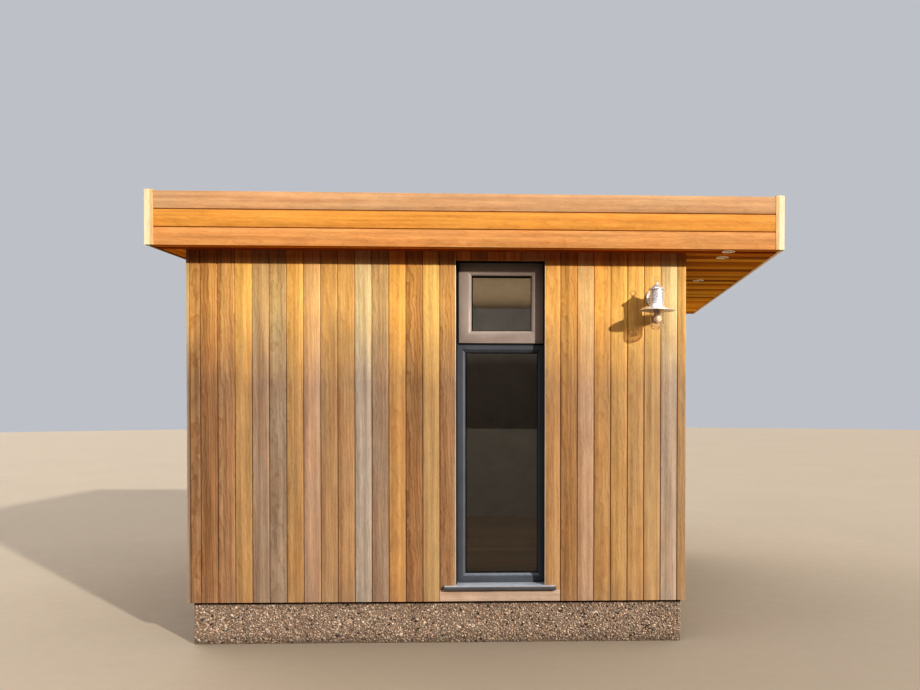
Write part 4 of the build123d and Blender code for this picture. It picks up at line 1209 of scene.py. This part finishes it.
def stones(name, length, O, U, N, pitch):
    """Chippings thrown on the render, from the ground to under the cladding."""
    O, U, N = (np.asarray(q, float) for q in (O, U, N))
    rows = int(0.296 / (pitch * 0.87))
    cols = int(length / pitch)
    i, j = np.meshgrid(np.arange(cols), np.arange(rows), indexing="ij")
    a = (i + 0.5 * (j % 2) + 0.25) * pitch + RNG.uniform(-0.42, 0.42, i.shape) * pitch
    z = (j + 0.5) * pitch * 0.87 + RNG.uniform(-0.42, 0.42, i.shape) * pitch
    keep = (RNG.uniform(0, 1, i.shape) > 0.07) & (a > 0.006) & (a < length - 0.006) & (z > 0.006) & (z < 0.292)
    a, z = a[keep], z[keep]
    n = len(a)
    size = np.clip(RNG.lognormal(np.log(0.0058), 0.30, n), 0.0032, 0.0100)
    q = RNG.normal(size=(n, 4))
    q /= np.linalg.norm(q, axis=1)[:, None]
    w, x, y, zz = q.T
    Rm = np.stack([1 - 2 * (y * y + zz * zz), 2 * (x * y - zz * w), 2 * (x * zz + y * w), 2 * (x * y + zz * w), 1 - 2 * (x * x + zz * zz),
                   2 * (y * zz - x * w), 2 * (x * zz - y * w), 2 * (y * zz + x * w), 1 - 2 * (x * x + y * y)], -1).reshape(n, 3, 3)
    shp = ICO[None] * RNG.uniform(0.78, 1.16, (n, 12, 1))
    shp = np.einsum("nij,nkj->nki", Rm, shp)
    su = size * RNG.uniform(0.8, 1.35, n)
    sv = size * RNG.uniform(0.75, 1.15, n)
    sn = np.minimum(size * RNG.uniform(0.5, 0.8, n), 0.0062)
    loc = O + a[:, None] * U + z[:, None] * np.array((0, 0, 1)) + (0.0008 + RNG.uniform(-0.0006, 0.0014, n))[:, None] * N
    P_ = loc[:, None] + shp[..., :1] * su[:, None, None] * U + shp[..., 1:2] * sv[:, None, None] * np.array((0, 0, 1)) \
        + shp[..., 2:] * sn[:, None, None] * N
    P_[..., 2] = np.maximum(P_[..., 2], 0.0005)
    flip = np.dot(np.cross(U, (0, 0, 1)), N) < 0
    F_ = (np.arange(n)[:, None, None] * 12 + (ICF[:, ::-1] if flip else ICF)[None]).reshape(-1, 3)
    col = PEB[RNG.choice(len(PEB), n, p=PW / PW.sum())] * RNG.uniform(0.80, 1.20, (n, 1))
    tones = np.column_stack([np.repeat(col, 12, 0), np.ones(n * 12)])
    M = Mesh()
    M.v.append(P_.reshape(-1, 3))
    M.gr.append(P_.reshape(-1, 3))
    M.tone.append(tones)
    M.edge.append(np.zeros(n * 12))
    M.f = [tuple(r) for r in F_.tolist()]
    M.mi = [0] * len(M.f)
    M.n = n * 12
    return piece(M, name, M_PEBBLE, "plinth", smooth=None, fix=False)


stones("plinth_stones_window_side", 2 * PX, (-PX, -PY, 0), (1, 0, 0), (0, -1, 0), 0.0120)
stones("plinth_stones_door_side", 2 * PY, (PX, -PY, 0), (0, 1, 0), (1, 0, 0), 0.0140)
stones("plinth_stones_far_side", 2 * PX, (PX, PY, 0), (-1, 0, 0), (0, 1, 0), 0.0145)
stones("plinth_stones_rear_side", 2 * PY, (-PX, PY, 0), (0, -1, 0), (-1, 0, 0), 0.0145)

# -------------------------------------------------------------- inside the room
fl = Mesh()
lx, ly = HX - 0.155, HY - 0.155
w_ = 2 * ly / 24
joint = [0.0, 0.9, 1.7, 0.4, 1.3, 2.1]
for i in range(24):
    cut = [-lx, -lx + 0.35 + joint[i % 6], lx] if i % 2 else [-lx, lx]
    for a, b in zip(cut[:-1], cut[1:]):
        rbox(fl, np.array((a + 0.0003, -ly + i * w_ + 0.0003, 0.347)), np.array((b - 0.0003, -ly + (i + 1) * w_ - 0.0003, 0.365)), 0.0012, 1, 0,
             tone((0.400, 0.270, 0.160, 0.5), 0.12), None, 0)
piece(fl, "floor_planks", M_FLOOR, "floor_timber", "floor_boards")

# ----------------------------------------------- CAD nodes that stay as they are
KEEP = {
    "plinth_side_walls": M_PLINTH, "plinth_end_walls": M_PLINTH, "oversite_slab": M_CONCRETE,
    "wall_lining": M_PLASTER, "ceiling_lining": M_CEILING,
}


def timber_plain(name):
    k = Mat(name)
    c = k.coord()
    s = k.noise(k.scale(c, (60, 60, 4)), 1.0, 4.0, 0.6)
    r = k.noise(k.scale(c, (9, 9, 0.8)), 1.0, 2.0, 0.5)
    wave = k.math("FRACT", k.math("MULTIPLY", r, 14.0))
    col = k.ramp(s, [(0.3, (0.36, 0.24, 0.135)), (0.7, (0.56, 0.42, 0.26))])
    col = k.mix(k.math("MULTIPLY", k.ramp(wave, [(0.0, 0.0), (0.7, 1.0), (1.0, 0.0)]), 0.35), col, (0.30, 0.17, 0.08))
    k.shader(col, k.range(s, 0.3, 0.7, 0.72, 0.88), 0.0, k.bump(s, 0.4, 0.001), Specular_IOR_Level=0.25)
    return k.m


M_STUD = timber_plain("carcass_softwood")
for n_, ob in nodes.items():
    if ob.hide_render:
        continue
    mat = KEEP.get(n_, M_STUD)
    ob.data.materials.clear()
    ob.data.materials.append(mat)

# --------------------------------------------------------------- floor and light
stage = Mesh()
g0 = np.linspace(0, 2 * pi, 97)[:-1]
stage.add([(45 * cos(t), 45 * sin(t), -0.0005) for t in g0] + [(45 * cos(t), 45 * sin(t), -0.05) for t in g0],
          [tuple(range(96)), tuple(range(191, 95, -1))] + [(i, (i + 1) % 96, 96 + (i + 1) % 96, 96 + i) for i in range(96)])
st = stage.build("pale_floor", [matt("pale_floor_paint", (0.305, 0.267, 0.218), 0.85, 0.6, 0.02, 0.05)], None)

# soft sky: dim near the horizon, brighter overhead; plain grey behind the object
world = bpy.data.worlds.new("studio")
bpy.context.scene.world = world
world.use_nodes = True
wt = world.node_tree
bg = wt.nodes["Background"]
way = wt.nodes.new("ShaderNodeTexCoord")
part = wt.nodes.new("ShaderNodeSeparateXYZ")
fade = wt.nodes.new("ShaderNodeValToRGB")
for e_, (pos, col) in zip([fade.color_ramp.elements[0], fade.color_ramp.elements.new(0.42), fade.color_ramp.elements[-1]],
                          [(0.16, (0.040, 0.039, 0.040)), (0.40, (0.78, 0.76, 0.77)), (0.75, (1.0, 0.97, 0.98))]):
    e_.position, e_.color = pos, (*col, 1.0)
wt.links.new(way.outputs["Generated"], part.inputs[0])
wt.links.new(part.outputs[2], fade.inputs[0])
wt.links.new(fade.outputs[0], bg.inputs[0])
back = wt.nodes.new("ShaderNodeBackground")
back.inputs[0].default_value = (0.36, 0.37, 0.39, 1.0)
path = wt.nodes.new("ShaderNodeLightPath")
mixed = wt.nodes.new("ShaderNodeMixShader")
wt.links.new(path.outputs["Is Camera Ray"], mixed.inputs[0])
wt.links.new(bg.outputs[0], mixed.inputs[1])
wt.links.new(back.outputs[0], mixed.inputs[2])
wt.links.new(mixed.outputs[0], wt.nodes["World Output"].inputs[0])

sun_data = bpy.data.lights.new("key", "SUN")
sun_data.energy = 3.2
sun_data.color = (1.0, 0.957, 0.885)
sun_data.angle = radians(1.5)
sun = bpy.data.objects.new("key", sun_data)
bpy.context.scene.collection.objects.link(sun)
sun.rotation_mode = "QUATERNION"
sun.rotation_quaternion = Vector((0.95, -1.0, 0.475)).normalized().to_track_quat("Z", "Y")

# broad soft lamp from behind on the other side, for the far and rear walls and the roof
fill_data = bpy.data.lights.new("fill", "SUN")
fill_data.energy = 0.8
fill_data.color = (1.0, 0.95, 0.88)
fill_data.angle = radians(50)
fill = bpy.data.objects.new("fill", fill_data)
bpy.context.scene.collection.objects.link(fill)
fill.rotation_mode = "QUATERNION"
fill.rotation_quaternion = Vector((-1.0, 1.0, 0.80)).normalized().to_track_quat("Z", "Y")

# soft lamp inside, turned to the ceiling, so that the room reads through the glass
room_data = bpy.data.lights.new("room_fill", "AREA")
room_data.shape = "RECTANGLE"
room_data.size, room_data.size_y = 2.2, 2.4
room_data.energy = 12.0
room_data.color = (1.0, 0.88, 0.72)
room = bpy.data.objects.new("room_fill", room_data)
bpy.context.scene.collection.objects.link(room)
room.location = (0.0, 0.1, 1.98)
room.rotation_euler = (pi, 0.0, 0.0)
room.visible_camera = False
room.visible_glossy = False
bpy.context.scene.view_settings.view_transform = "Standard"
bpy.context.scene.view_settings.look = "Very High Contrast"
bpy.context.scene.view_settings.exposure = 0.0

bpy.context.view_layer.update()
